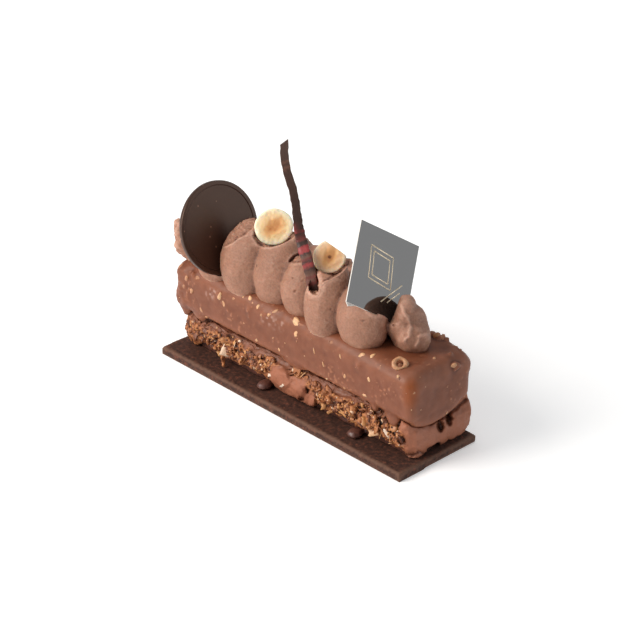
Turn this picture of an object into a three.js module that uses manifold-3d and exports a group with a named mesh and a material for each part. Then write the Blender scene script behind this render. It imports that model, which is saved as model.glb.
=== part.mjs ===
// A finger-shaped mousse cake: a cocoa biscuit plate, ganache dots, a crunchy layer, a glazed
// mousse bar and a wave of piped cream, dressed with a disc, a stick, two hazelnut halves and a card.
// Millimetres, +Z up. The origin is the centre of the biscuit plate's underside, +X runs along the
// cake towards its right-hand end and -Y faces the front.
import * as THREE from 'three';
import { mergeVertices } from 'three/addons/utils/BufferGeometryUtils.js';
import { ConvexGeometry } from 'three/addons/geometries/ConvexGeometry.js';
import Module from 'manifold-3d';

const wasm = await Module();
wasm.setup();

// Driving dimensions
const gap = 0.3; // clearance between neighbouring pieces
const cakeMiddleY = 3.5; // the cake stands a little behind the plate's centre line

const plate = { length: 130, width: 40.2, thickness: 3.3, edge: 0.6 };

const dots = { radius: 2.9, pitch: 8.14, firstX: -54.6, frontY: -11.9, backY: 17 };
const ganacheCore = { length: 118, width: 25, top: 6.4 };

const crunch = {
  length: 124, width: 32, corner: 4.6, middle: [-0.1, 4.2], foot: 6.8, coatFoot: 3.65, top: 19.15,
  crag: 1.35, cragSize: 3.4, columns: 116,
};

const bar = {
  low: [-65.4, -13, 19.45], high: [63.5, 20, 39], topRadius: 5.4, footRadius: 2.4,
  wobble: 0.55, wobbleSize: 19, flatSteps: [13, 3, 2], cornerSteps: 3,
  cornerDrop: 3.8, cornerSwell: 0.7, // the glaze slumps down and out at the far right corner
};

const cream = { bottom: 36.5, sides: 14, levels: 9, boxy: 0.74 };

const disc = {
  radius: 18.04, backRadius: 17.3, thickness: 1.7, centre: [-45.5, -5.7, 57.2],
  turn: -1.6, lean: 20.3, grooveInset: 1.6, grooveDepth: 0.22,
};

// The card stands on one corner and faces the right-hand end, leaning back as the disc does.
const card = {
  side: 31, thickness: 0.5, centre: [30.7, 5, 62.7], turn: 5.3, lean: 22.6, roll: 6.4,
};

const stick = { width: 3.1, footWidth: 4.3, thickness: 1.1, stepsPerSpan: 3 };

const viewFromFront = new THREE.Vector3(0.6306, -0.607, 0.4838); // the way the nut faces look

// Colours
const colours = {
  biscuit: 0x3a2620, ganache: 0x6b473b, crunch: 0x9a6444, glaze: 0x9b6750, cream: 0xb08c7c,
  chocolate: 0x3a2a25, stick: 0x57382f, nut: 0xe9cf9c, card: 0x242526,
};

// ---- small tools -------------------------------------------------------------------------------

// A repeatable draw between 0 and 1.
function makeRandom(seed) {
  let state = seed;
  return () => {
    state = (state * 48271) % 2147483647;
    return state / 2147483647;
  };
}

function cornerValue(i, j, k) {
  let h = Math.imul(i, 374761393) ^ Math.imul(j, 668265263) ^ Math.imul(k, 1274126177);
  h = Math.imul(h ^ (h >>> 13), 1103515245);
  return ((h ^ (h >>> 16)) >>> 0) / 2147483648 - 1;
}

// Smooth value noise between -1 and 1.
function noise(x, y, z) {
  const i = Math.floor(x);
  const j = Math.floor(y);
  const k = Math.floor(z);
  const ease = (t) => t * t * (3 - 2 * t);
  const u = ease(x - i);
  const v = ease(y - j);
  const w = ease(z - k);
  const mix = THREE.MathUtils.lerp;
  const row = (dj, dk) => mix(cornerValue(i, j + dj, k + dk), cornerValue(i + 1, j + dj, k + dk), u);
  return mix(mix(row(0, 0), row(1, 0), v), mix(row(0, 1), row(1, 1), v), w);
}

function solidOf(geometry) {
  const bare = geometry.clone();
  for (const name of Object.keys(bare.attributes)) {
    if (name !== 'position') bare.deleteAttribute(name);
  }
  const merged = mergeVertices(bare, 1e-4);
  return new wasm.Manifold(new wasm.Mesh({
    numProp: 3,
    vertProperties: new Float32Array(merged.attributes.position.array),
    triVerts: new Uint32Array(merged.index.array),
  }));
}

// The largest body of a solid, without the scraps that a cut leaves.
function mainBody(solid) {
  return solid.decompose().reduce((best, body) => (body.volume() > best.volume() ? body : best));
}

function joined(solids) {
  return solids.reduce((sum, next) => sum.add(next));
}

function meshOf(name, solid, color, roughness, metalness = 0) {
  const made = mainBody(solid).getMesh();
  const geometry = new THREE.BufferGeometry();
  const positions = new Float32Array(made.numVert * 3);
  for (let i = 0; i < made.numVert; i++) {
    positions.set(made.vertProperties.subarray(i * made.numProp, i * made.numProp + 3), i * 3);
  }
  geometry.setAttribute('position', new THREE.BufferAttribute(positions, 3));
  geometry.setIndex(new THREE.BufferAttribute(made.triVerts, 1));
  const mesh = new THREE.Mesh(geometry, new THREE.MeshStandardMaterial({ color, roughness, metalness }));
  mesh.name = name;
  return mesh;
}

function movePoints(geometry, change) {
  const position = geometry.getAttribute('position');
  const point = new THREE.Vector3();
  for (let i = 0; i < position.count; i++) {
    point.fromBufferAttribute(position, i);
    change(point);
    position.setXYZ(i, point.x, point.y, point.z);
  }
  return geometry;
}

// A closed solid through rings of points, each ring with the same count, capped by fans.
function ringSolid(rings) {
  const count = rings[0].length;
  const points = rings.flat();
  const faces = [];
  for (let r = 0; r + 1 < rings.length; r++) {
    for (let i = 0; i < count; i++) {
      const a = r * count + i;
      const b = r * count + ((i + 1) % count);
      faces.push(a, b, b + count, a, b + count, a + count);
    }
  }
  const middle = (ring) => ring.reduce((sum, p) => sum.add(p), new THREE.Vector3()).divideScalar(count);
  const last = (rings.length - 1) * count;
  points.push(middle(rings[0]), middle(rings[rings.length - 1]));
  for (let i = 0; i < count; i++) {
    const next = (i + 1) % count;
    faces.push(points.length - 2, next, i);
    faces.push(points.length - 1, last + i, last + next);
  }
  const geometry = new THREE.BufferGeometry().setFromPoints(points);
  geometry.setIndex(faces);
  return geometry;
}

// A block with rounded edges. low and high are its corners, grow widens it all round.
function roundedBlock({ low, high, topRadius, footRadius, flatSteps, cornerSteps, grow = 0 }) {
  const counts = flatSteps.map((steps) => steps + 2 * cornerSteps);
  const lowest = low.map((value) => value - grow);
  const highest = high.map((value) => value + grow);
  const spacing = topRadius + grow;
  const alongAxis = (t, axis) => {
    const step = Math.round(t * counts[axis]);
    const fromEnd = Math.min(step, counts[axis] - step);
    if (fromEnd >= cornerSteps) {
      const share = (step - cornerSteps) / flatSteps[axis];
      return THREE.MathUtils.lerp(lowest[axis] + spacing, highest[axis] - spacing, share);
    }
    const inset = spacing * (1 - Math.tan((Math.PI / 4) * (1 - fromEnd / cornerSteps)));
    return step < cornerSteps ? lowest[axis] + inset : highest[axis] - inset;
  };
  const block = new THREE.BoxGeometry(1, 1, 1, ...counts);
  return movePoints(block, (point) => {
    const raw = point.toArray().map((value, axis) => alongAxis(value + 0.5, axis));
    const rise = THREE.MathUtils.smoothstep(raw[2], lowest[2], highest[2]);
    const radius = THREE.MathUtils.lerp(footRadius, topRadius, rise) + grow;
    const inner = raw.map((value, axis) => (
      THREE.MathUtils.clamp(value, lowest[axis] + radius, highest[axis] - radius)));
    const away = new THREE.Vector3(...raw.map((value, axis) => value - inner[axis]));
    point.set(...inner).addScaledVector(away.normalize(), radius);
  });
}

// ---- biscuit plate -----------------------------------------------------------------------------

function platePiece() {
  const steps = 44;
  const { length, width, thickness, edge } = plate;
  const ring = (z, inset, wavy) => {
    const points = [];
    const halfX = length / 2 - inset;
    const halfY = width / 2 - inset;
    const outline = [
      [-halfX, -halfY], [halfX, -halfY], [halfX, halfY], [-halfX, halfY],
    ];
    outline.forEach(([x, y], side) => {
      const [nextX, nextY] = outline[(side + 1) % 4];
      const count = side % 2 === 0 ? steps * 0.35 : steps * 0.15;
      for (let i = 0; i < Math.round(count); i++) {
        const t = i / Math.round(count);
        const px = THREE.MathUtils.lerp(x, nextX, t);
        const py = THREE.MathUtils.lerp(y, nextY, t);
        const crumble = i === 0 ? 0 : wavy * noise(px / 6, py / 6, z);
        points.push(new THREE.Vector3(px * (1 - crumble / halfX), py * (1 - crumble / halfY), z));
      }
    });
    return points;
  };
  return solidOf(ringSolid([
    ring(0, 0, 0.12), ring(thickness - edge, 0, 0.12), ring(thickness, edge, 0.1),
  ]));
}

// ---- ganache: a core with piped dots round its edge ----------------------------------------------

function ganachePiece(grow) {
  const bottom = plate.thickness + gap - grow;
  const height = ganacheCore.top + grow - bottom;
  const core = new THREE.BoxGeometry(
    ganacheCore.length + 2 * grow, ganacheCore.width + 2 * grow, height);
  core.translate(0, cakeMiddleY, bottom + height / 2);
  const swell = 1 + (1.6 * grow) / dots.radius;
  const profile = [[0, 0], [0.82, 0], [1, 0.3], [0.72, 0.78], [0, 1]];
  const dome = new THREE.LatheGeometry(
    profile.map(([r, h]) => new THREE.Vector2(r * dots.radius, h * dots.radius)), 8);
  dome.rotateX(Math.PI / 2);
  const open = (x) => (x > -30 && x < -10) || (x > 30 && x < 50);
  const random = makeRandom(77);
  const solids = [solidOf(core)];
  for (let i = 0; i < 14; i++) {
    const x = dots.firstX + i * dots.pitch;
    for (const y of [dots.frontY, dots.backY]) {
      const size = (0.94 + 0.1 * random()) * swell;
      const shift = 0.4 * (random() - 0.5);
      const shown = open(x) || (y > 0 && i % 4 < 2);
      if (shown) {
        const dot = dome.clone().scale(size, size, 0.97 * size);
        dot.translate(x + shift, y, bottom);
        solids.push(solidOf(dot));
      }
    }
  }
  for (const y of [-4.5, 3.4, 11.4]) {
    const dot = dome.clone().scale(swell, swell, swell);
    dot.translate(-60.2, y, bottom);
    solids.push(solidOf(dot));
  }
  return joined(solids);
}

// ---- crunchy layer -------------------------------------------------------------------------------

// Points and outward directions round a rectangle with rounded corners.
function roundedOutline(length, width, corner, count) {
  const straightX = length - 2 * corner;
  const straightY = width - 2 * corner;
  const arc = (Math.PI / 2) * corner;
  const total = 2 * (straightX + straightY) + 4 * arc;
  const stretches = [
    [straightX, 0, 0], [arc, 1, 0], [straightY, 0, 1], [arc, 1, 1],
    [straightX, 0, 2], [arc, 1, 2], [straightY, 0, 3], [arc, 1, 3],
  ];
  const result = [];
  for (let i = 0; i < count; i++) {
    let s = (i / count) * total;
    let index = 0;
    while (s > stretches[index][0]) {
      s -= stretches[index][0];
      index += 1;
    }
    const [, round, side] = stretches[index];
    const start = -Math.PI / 2 + (side * Math.PI) / 2;
    const angle = round ? start + s / corner : start;
    const along = side % 2 === 0 ? straightX : straightY;
    const normal = new THREE.Vector2(Math.cos(angle), Math.sin(angle));
    const signs = [[1, -1], [1, 1], [-1, 1], [-1, -1]][side];
    const centre = new THREE.Vector2((signs[0] * straightX) / 2, (signs[1] * straightY) / 2);
    if (!round) {
      const direction = new THREE.Vector2(-normal.y, normal.x);
      centre.addScaledVector(direction, s - along);
    }
    result.push({ point: centre.addScaledVector(normal, corner), normal });
  }
  return result;
}

// How craggy the side is: 0 where glaze has run over it, 1 where the crumb is open.
function cragShare(x, y) {
  const soft = (value, from, to) => THREE.MathUtils.smoothstep(value, from, to);
  const middleCoat = soft(x, -16, -11) * (1 - soft(x, 8, 13));
  const endCoat = soft(x, 57, 60.5);
  const startCoat = 0.6 * (1 - soft(x, -56, -48));
  const frontShare = 1 - Math.max(middleCoat, endCoat, startCoat);
  const backShare = Math.max(0.25, Math.min(1, 0.75 + 0.9 * noise(x / 14, 5.5, 2.5))) * (1 - endCoat);
  return y < cakeMiddleY ? frontShare : backShare;
}

function crunchPiece() {
  const outline = roundedOutline(crunch.length, crunch.width, crunch.corner, crunch.columns);
  const [middleX, middleY] = crunch.middle;
  const footLevel = (x, y) => {
    const share = THREE.MathUtils.smoothstep(cragShare(x, y), 0.35, 0.8);
    return THREE.MathUtils.lerp(crunch.coatFoot, crunch.foot, share);
  };
  const plainRing = (z, inset) => outline.map(({ point, normal }) => new THREE.Vector3(
    point.x + middleX - inset * normal.x, point.y + middleY - inset * normal.y, z));
  const sideRing = (share, bulge) => outline.map(({ point, normal }) => {
    const x = point.x + middleX;
    const y = point.y + middleY;
    const crag = cragShare(x, y);
    const foot = footLevel(x, y) + 0.7 * crag * noise(x / 3, y / 3, 9);
    const z = THREE.MathUtils.lerp(Math.max(foot, crunch.coatFoot), crunch.top, share);
    const size = crunch.cragSize;
    const rough = noise(x / size, y / size, z / size) + 0.6 * noise(x / 1.9 + 40, y / 1.9, z / 1.9);
    const calm = noise(x / 11, y / 11, z / 9 + 20);
    const nearEnd = THREE.MathUtils.smoothstep(x, 59, 62);
    const slab = nearEnd * (0.9 - 2.2 * THREE.MathUtils.smoothstep(z, 12, 17));
    const out = bulge + slab + crunch.crag * crag * rough + 0.7 * (1 - crag) * calm;
    return new THREE.Vector3(x + out * normal.x, y + out * normal.y, z);
  });
  const body = solidOf(ringSolid([
    plainRing(crunch.foot, 2.9),
    sideRing(0, -0.9), sideRing(0.2, 0), sideRing(0.4, 0.4), sideRing(0.6, 0.35),
    sideRing(0.8, 0), sideRing(0.98, -1),
    plainRing(crunch.top, 3.2),
  ]));
  // Flakes of wafer that stand out of the crumb: foot point, tip point, half width.
  const flakes = [
    [[-41.5, -9.5, 9.5], [-35.4, -14.2, 4], 2.2],
    [[-45, -9.8, 11], [-40.6, -14.4, 9.2], 1.6],
    [[-29, -9.5, 10.5], [-26.5, -14.2, 9.4], 1.5],
    [[19, -9.5, 12.5], [22.4, -14.2, 13.6], 1.6],
    [[30, -9.5, 9], [33, -14.3, 8.4], 1.7],
    [[45, -9.5, 11], [43.4, -14, 11.6], 1.5],
    [[-20, 17, 11], [-24, 21, 9.6], 1.8],
    [[22, 17, 9.5], [26, 21.2, 8.8], 1.8],
  ].map(([from, to, half]) => {
    const root = new THREE.Vector3(...from);
    const tip = new THREE.Vector3(...to);
    const along = tip.clone().sub(root);
    const side = new THREE.Vector3().crossVectors(along, new THREE.Vector3(0, 0.35, 1)).setLength(half);
    const thick = new THREE.Vector3().crossVectors(side, along).setLength(0.45);
    const points = [];
    for (const sign of [-1, 1]) {
      points.push(root.clone().add(side).addScaledVector(thick, sign));
      points.push(root.clone().sub(side).addScaledVector(thick, sign));
      points.push(tip.clone().addScaledVector(side, 0.25).addScaledVector(thick, 0.4 * sign));
      points.push(tip.clone().addScaledVector(side, -0.2).addScaledVector(thick, 0.4 * sign));
    }
    return solidOf(new ConvexGeometry(points));
  });
  return joined([body, ...flakes]);
}

// ---- glazed mousse bar ---------------------------------------------------------------------------

// Glaze that has run down over the crumb: x, how wide, how low it hangs.
const drips = [
  { x: 52.5, half: 4.2, low: 14.2 }, { x: 43.6, half: 2.2, low: 16.6 },
  { x: 1, half: 9, low: 17.4 }, { x: -52, half: 5, low: 16.4 }, { x: -60, half: 3.4, low: 15.2 },
];

function barBody(grow) {
  const { low, high, wobble, wobbleSize } = bar;
  const body = roundedBlock({ ...bar, grow });
  movePoints(body, (point) => {
    const height = THREE.MathUtils.smoothstep(point.z, low[2], low[2] + 6);
    const s = wobbleSize;
    const push = wobble * height * noise(point.x / s, point.y / s, point.z / s + 3);
    const outX = THREE.MathUtils.clamp((point.x + 1) / 30, -1, 1) * Math.abs(point.x + 1) / 64;
    const outY = (point.y - cakeMiddleY) / 16.5;
    const flat = 1 - THREE.MathUtils.smoothstep(point.z, high[2] - 3, high[2]);
    point.x += push * flat * outX * Math.abs(outX);
    point.y += push * flat * outY * Math.abs(outY);
    const corner = THREE.MathUtils.smoothstep(point.x, high[0] - 15, high[0] + 3)
      * THREE.MathUtils.smoothstep(point.y, high[1] - 15, high[1] + 3);
    point.y += bar.cornerSwell * corner * THREE.MathUtils.smoothstep(point.z, low[2], low[2] + 7);
    point.z -= bar.cornerDrop * corner * THREE.MathUtils.smoothstep(point.z, high[2] - 12, high[2]);
  });
  // The glaze sags lower across the right-hand end.
  const lip = roundedBlock({
    low: [56, -11.4, 14.8], high: [63.3, 15.4, 27], topRadius: 2.8, footRadius: 2.2,
    flatSteps: [1, 5, 1], cornerSteps: 2, grow,
  });
  movePoints(lip, (point) => {
    const fromMiddle = (point.y - 1) / 14;
    if (point.z < 21) point.z += 4.4 * Math.min(1, fromMiddle * fromMiddle);
  });
  const runs = drips.map(({ x, half, low: lowest }) => {
    const drop = new THREE.SphereGeometry(1, 10, 6);
    drop.rotateX(Math.PI / 2);
    drop.scale(half + grow, 1.7 + grow, bar.low[2] + 2 - lowest + grow);
    drop.translate(x, bar.low[1] + 1.9, bar.low[2] + 2);
    return solidOf(drop);
  });
  return joined([solidOf(body), solidOf(lip), ...runs]);
}

// Chopped hazelnut under the glaze. Each piece is a small irregular crumb: x, height or depth, size.
const frontChips = [
  [2.9, 39.2, 1.5, 3], [3.6, 32.9, 1.3, 1.6], [-21.4, 38.4, 1.1, 1], [-39, 33.2, 1.1, 2],
  [-37.3, 31.2, 0.9, 1.2], [37.7, 38.2, 1.3, 1], [36.2, 33.7, 1.4, 1.1], [29, 26.5, 0.8, 1.2],
  [41.9, 30.2, 1, 1.3], [39.4, 22.6, 1.1, 0.9], [-17, 37.6, 0.9, 1], [-57.9, 34.1, 1.3, 1],
  [-54, 36.5, 1.2, 1.6],
];
const edgeChip = { x: 52.8, y: -8.8, z: bar.high[2], size: 2.3, stretch: 1 };
const scatteredChips = 24;

function chipSpots() {
  const random = makeRandom(2024);
  const spots = frontChips.map(([x, z, size, stretch]) => ({ x, y: bar.low[1], z, size, stretch }));
  spots.push(edgeChip);
  for (let i = 0; i < scatteredChips; i++) {
    const turn = random();
    const along = random();
    const up = random();
    const size = 0.55 + 0.5 * random();
    const stretch = 1 + random();
    const x = THREE.MathUtils.lerp(bar.low[0] + 3, bar.high[0] - 3, along);
    const z = THREE.MathUtils.lerp(bar.low[2] + 4, bar.high[2] - 3, up);
    const y = THREE.MathUtils.lerp(bar.low[1] + 4, bar.high[1] - 4, up);
    if (turn < 0.42) spots.push({ x, y: bar.low[1], z, size, stretch });
    else if (turn < 0.78) spots.push({ x, y: bar.high[1], z, size, stretch });
    else if (turn < 0.88) spots.push({ x: bar.high[0], y, z, size, stretch });
    else if (turn < 0.94) spots.push({ x: bar.low[0], y, z, size, stretch });
    else spots.push({ x: 57 + 3 * along, y, z: bar.high[2], size, stretch });
  }
  return spots;
}

function chipSolids() {
  const random = makeRandom(515);
  return chipSpots().map(({ x, y, z, size, stretch }) => {
    const chip = new THREE.OctahedronGeometry(1.1 * size);
    chip.scale(stretch, 0.9, 1);
    chip.rotateX(6 * random());
    chip.rotateY(1.4 + 0.7 * random());
    chip.rotateZ(0.5 * random());
    const middle = new THREE.Vector3(-1, cakeMiddleY, 29);
    const toMiddle = (value, centre) => Math.sign(centre - value) * 0.35 * size;
    const sunkX = Math.abs(x - bar.high[0]) < 1 || Math.abs(x - bar.low[0]) < 1;
    const sunkY = y === bar.low[1] || y === bar.high[1];
    chip.translate(
      x + (sunkX ? toMiddle(x, middle.x) : 0),
      y + (sunkY ? toMiddle(y, middle.y) : 0),
      z + (z >= bar.high[2] ? -0.35 * size : 0));
    return solidOf(chip);
  });
}

// ---- piped cream ---------------------------------------------------------------------------------

// Lobes of the piped wave: centre, half sizes, how far the crown leans in X and Y.
const frontLobes = [
  { at: [-31.6, -6.2, 47.3], half: [10.6, 7.9, 15.4], lean: [-1, 7.5] },
  { at: [-16.5, -3.2, 47.3], half: [10.6, 8.4, 14.8], lean: [-1, 6] },
  { at: [-2.2, -3.5, 47], half: [8.8, 8, 12.6], lean: [0, 4.5] },
  { at: [13, -6.2, 47], half: [8.8, 8.2, 14.6], lean: [-1.8, 6.6] },
  { at: [29.4, -4.3, 47], half: [11, 7.8, 12.4], lean: [-1.5, 6] },
];
// The last dollop, in front of the card's lowest corner.
const endLobes = [
  { at: [42.8, 5.8, 46.2], half: [7.6, 7.8, 11.8], lean: [-1.6, -1.4] },
  { at: [46, 4.4, 44.2], half: [6.8, 7.2, 7.4], lean: [-1, 0] },
].map((place) => ({ ...place, coarser: 2 }));
const backLobes = [
  { at: [-38, 11, 46], half: [9.6, 7.6, 11.5], lean: [0, -2] },
  { at: [-22, 11.2, 46], half: [9.6, 7.6, 11.5], lean: [0, -2] },
  { at: [-7, 11, 46], half: [9.2, 7.6, 11.5], lean: [0, -2] },
  { at: [9, 10.8, 46], half: [9.8, 7.8, 12], lean: [0, -2] },
  { at: [25, 11, 45.5], half: [9.8, 7.6, 10.5], lean: [0, -2] },
  { at: [35, 9.4, 43], half: [7.4, 6.4, 7.4], lean: [0, 0] },
].map((place) => ({ ...place, coarser: 2 }));
// The lobes behind the disc, at the left-hand end.
const startLobes = [
  { at: [-60.5, -3, 45], half: [8.2, 8.2, 8.4], lean: [-1, 2] },
  { at: [-46.5, -6.4, 46], half: [10, 7.6, 12.5], lean: [-4, 4] },
  { at: [-53, 10, 45.5], half: [9.6, 8, 9.6], lean: [-1, -2] },
].map((place) => ({ ...place, coarser: 1 }));

function lobe({ at, half, lean, coarser = 0 }) {
  const ball = new THREE.SphereGeometry(1, cream.sides - coarser, cream.levels - coarser);
  ball.rotateX(Math.PI / 2);
  movePoints(ball, (point) => {
    const rise = Math.max(0, point.z);
    const round = Math.hypot(point.x, point.y);
    const plump = round > 1e-6 ? round ** (cream.boxy - 1) : 1;
    const ripple = 1 + 0.03 * noise(3 * point.x + at[0], 3 * point.y, 3 * point.z);
    point.set(
      at[0] + half[0] * point.x * plump * ripple + lean[0] * rise * rise,
      at[1] + half[1] * point.y * plump * ripple + lean[1] * rise * rise,
      at[2] + half[2] * point.z * ripple);
  });
  return solidOf(ball);
}

// The notch that the nozzle leaves in the crown of a lobe: it starts at a tip on the lobe's face and
// widens towards a near lip and a far ridge, with its valley between and below them.
const notches = [
  { tip: [-40, -10.4, 50.2], near: [-30.2, -7, 59], far: [-37.4, -3.4, 60.2], depth: 3 },
  { tip: [-25.2, -6.4, 54.4], near: [-15, -3.4, 60], far: [-21.6, 0.6, 61.6], depth: 3 },
  { tip: [-11.2, -7, 52.6], near: [-1.8, -5.4, 57], far: [-8, -0.5, 58.8], depth: 3.4 },
  { tip: [4.8, -9.4, 50.2], near: [13.2, -7.6, 58], far: [8.4, -2.4, 60], depth: 3 },
  { tip: [-44, 17.4, 51.5], near: [-36, 12, 58.5], far: [-32, 6, 60], depth: 2.4 },
  { tip: [-28, 17.6, 51.5], near: [-20, 12, 58.5], far: [-16, 6, 60], depth: 2.4 },
  { tip: [2.5, 17, 51.5], near: [11, 12, 59], far: [14, 6, 60], depth: 2.4 },
];

function notchSolid({ tip, near, far, depth }) {
  const reach = 1.9;
  const start = new THREE.Vector3(...tip);
  const stretched = (p) => start.clone().addScaledVector(new THREE.Vector3(...p).sub(start), reach);
  const lip = stretched(near);
  const ridge = stretched(far);
  const up = new THREE.Vector3(0, 0, 1);
  const normal = new THREE.Vector3().crossVectors(lip.clone().sub(start), ridge.clone().sub(start));
  normal.normalize().multiplyScalar(Math.sign(normal.z) || 1);
  const valley = lip.clone().lerp(ridge, 0.5).addScaledVector(normal, -depth * reach);
  const lifted = [start, lip, ridge].map((p) => p.clone().addScaledVector(up, 40));
  return solidOf(new ConvexGeometry([start, lip, ridge, valley, ...lifted]));
}

function creamPiece(cutters) {
  const start = joined(startLobes.map(lobe)).subtract(discPiece(gap, 0, 30));
  const wave = joined([...frontLobes, ...backLobes].map(lobe))
    .subtract(discPiece(gap, 30, 0))
    .subtract(cardPiece(gap, 30));
  const body = joined([start, wave, ...endLobes.map(lobe)]);
  const notched = notches.reduce((rest, notch) => rest.subtract(notchSolid(notch)), body);
  return cutters.reduce((rest, cutter) => rest.subtract(cutter), notched);
}

// ---- chocolate disc ------------------------------------------------------------------------------

// grow widens the disc all round, behind and before lengthen it to the back and to the front.
function discPiece(grow, behind = 0, before = 0) {
  const r = disc.radius + grow;
  const back = disc.backRadius + grow;
  const low = -disc.thickness - grow - behind;
  const high = grow + before;
  const inset = disc.grooveInset;
  const d = grow > 0 ? 0 : disc.grooveDepth;
  const profile = [
    [0, low], [back - 0.3, low], [back, low + 0.3], [r, -0.35],
    [r, high - 0.3], [r - 0.3, high], [r - inset, high], [r - inset - 0.35, high - d], [0, high - d],
  ];
  const shape = new THREE.LatheGeometry(profile.map(([x, y]) => new THREE.Vector2(x, y)), 32);
  shape.rotateZ(-Math.PI / 2);
  shape.rotateY(-THREE.MathUtils.degToRad(disc.lean));
  shape.rotateZ(THREE.MathUtils.degToRad(disc.turn));
  shape.translate(...disc.centre);
  return solidOf(shape);
}

// ---- chocolate stick -----------------------------------------------------------------------------

const stickPath = [
  [-15.8, 0, 100], [-14.4, -0.7, 92.6], [-10, -1.3, 84.2], [-7.7, -2, 79.1], [-6, -2.7, 73.9],
  [-4.3, -3.3, 69.4], [-2, -4, 65.5], [0.8, -4.7, 61.4], [3.6, -5.3, 55.7], [6.2, -6, 48.5],
];

function stickPiece(grow) {
  const curve = new THREE.CatmullRomCurve3(stickPath.map((p) => new THREE.Vector3(...p)));
  const steps = (stickPath.length - 1) * stick.stepsPerSpan;
  const thick = stick.thickness / 2 + grow;
  const rings = [];
  for (let i = 0; i <= steps; i++) {
    const t = i / steps;
    const centre = curve.getPointAt(t);
    const along = curve.getTangentAt(t);
    const turn = 0.72 + 0.25 * Math.sin(5 * t);
    const across = new THREE.Vector3(Math.cos(turn), Math.sin(turn), 0);
    across.addScaledVector(along, -across.dot(along)).normalize();
    const out = new THREE.Vector3().crossVectors(across, along);
    const widening = THREE.MathUtils.smoothstep(t, 0.35, 0.7);
    const half = THREE.MathUtils.lerp(stick.width, stick.footWidth, widening) / 2 + grow;
    const width = half * (1 + 0.04 * Math.sin(17 * t) + 0.03 * Math.sin(41 * t));
    const slant = i === 0 ? 1.1 : 0;
    rings.push([[-1, -1], [-1, 1], [1, 1], [1, -1]].map(([u, v]) => centre.clone()
      .addScaledVector(across, u * width)
      .addScaledVector(out, v * thick)
      .addScaledVector(along, -slant * (u + 1))));
  }
  return solidOf(ringSolid(rings));
}

// ---- hazelnut halves -----------------------------------------------------------------------------

const nuts = [
  { at: [-24, 2, 62.7], radius: 7.15, depth: 5.6, cut: false },
  { at: [6.1, 2, 61.4], radius: 6.2, depth: 5, cut: true },
];

function nutPiece({ at, radius, depth, cut }, grow) {
  const r = radius + grow;
  const profile = [
    [0, -depth - grow], [0.42 * r, -0.9 * depth - grow], [0.78 * r, -0.6 * depth],
    [0.97 * r, -0.25 * depth], [r, -0.6], [0.93 * r, grow], [0.45 * r, grow - 0.25], [0, grow - 0.55],
  ];
  const half = new THREE.LatheGeometry(profile.map(([x, y]) => new THREE.Vector2(x, y)), 18);
  movePoints(half, (point) => {
    const swell = 1 + 0.035 * Math.sin(2 * Math.atan2(point.z, point.x) + at[0]);
    point.x *= swell;
    point.z *= swell;
  });
  const face = new THREE.Quaternion().setFromUnitVectors(
    new THREE.Vector3(0, 1, 0), viewFromFront.clone().normalize());
  half.applyQuaternion(face);
  half.translate(...at);
  const solid = solidOf(half);
  if (!cut) return solid;
  // The second half has a straight side on its upper right.
  const trim = new THREE.BoxGeometry(40, 40, 40);
  trim.translate(0, 20 + 0.62 * radius + grow, 0);
  trim.rotateZ(-0.62);
  const toView = new THREE.Matrix4().lookAt(
    viewFromFront.clone(), new THREE.Vector3(), new THREE.Vector3(0, 0, 1));
  trim.applyMatrix4(toView);
  trim.translate(...at);
  return solid.subtract(solidOf(trim));
}

// ---- card ----------------------------------------------------------------------------------------

// grow widens the card all round, before lengthens it to the front.
function cardPiece(grow, before = 0) {
  const radians = THREE.MathUtils.degToRad;
  const sheet = new THREE.BoxGeometry(
    card.side + 2 * grow, card.side + 2 * grow, card.thickness + 2 * grow + before);
  sheet.translate(0, 0, before / 2);
  sheet.rotateZ(Math.PI / 4 + radians(card.roll));
  const out = new THREE.Vector3(Math.cos(radians(card.lean)), 0, Math.sin(radians(card.lean)));
  const across = new THREE.Vector3(0, 1, 0);
  const up = new THREE.Vector3().crossVectors(out, across);
  sheet.applyMatrix4(new THREE.Matrix4().makeBasis(across, up, out));
  sheet.rotateZ(radians(card.turn));
  sheet.translate(...card.centre);
  return solidOf(sheet);
}

// ---- the cake ------------------------------------------------------------------------------------

const cake = new THREE.Group();
const barSolid = barBody(0);
const barClearance = barBody(gap + 0.05);
const creamFloor = new THREE.BoxGeometry(160, 60, 40);
creamFloor.translate(0, 0, cream.bottom - 20);

const creamSolid = creamPiece([
  solidOf(creamFloor), barClearance, discPiece(gap), stickPiece(gap), cardPiece(gap),
  ...nuts.map((nut) => nutPiece(nut, gap)),
]);

cake.add(meshOf('sable_base', platePiece(), colours.biscuit, 0.8));
cake.add(meshOf('ganache', ganachePiece(0), colours.ganache, 0.5));
const crunchSolid = crunchPiece().subtract(barClearance).subtract(ganachePiece(gap));
cake.add(meshOf('crunch_layer', crunchSolid, colours.crunch, 0.65));
cake.add(meshOf('glazed_bar', joined([barSolid, ...chipSolids()]), colours.glaze, 0.35));
cake.add(meshOf('piped_cream', creamSolid, colours.cream, 0.6));
cake.add(meshOf('chocolate_disc', discPiece(0), colours.chocolate, 0.35));
cake.add(meshOf('chocolate_stick', stickPiece(0), colours.stick, 0.4));
nuts.forEach((nut, index) => {
  cake.add(meshOf(`hazelnut_half_${index + 1}`, nutPiece(nut, 0), colours.nut, 0.5));
});
cake.add(meshOf('card_tag', cardPiece(0), colours.card, 0.15));

export default cake;
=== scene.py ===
import itertools
import math

import bpy
import numpy as np
from mathutils import Matrix, Vector


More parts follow.
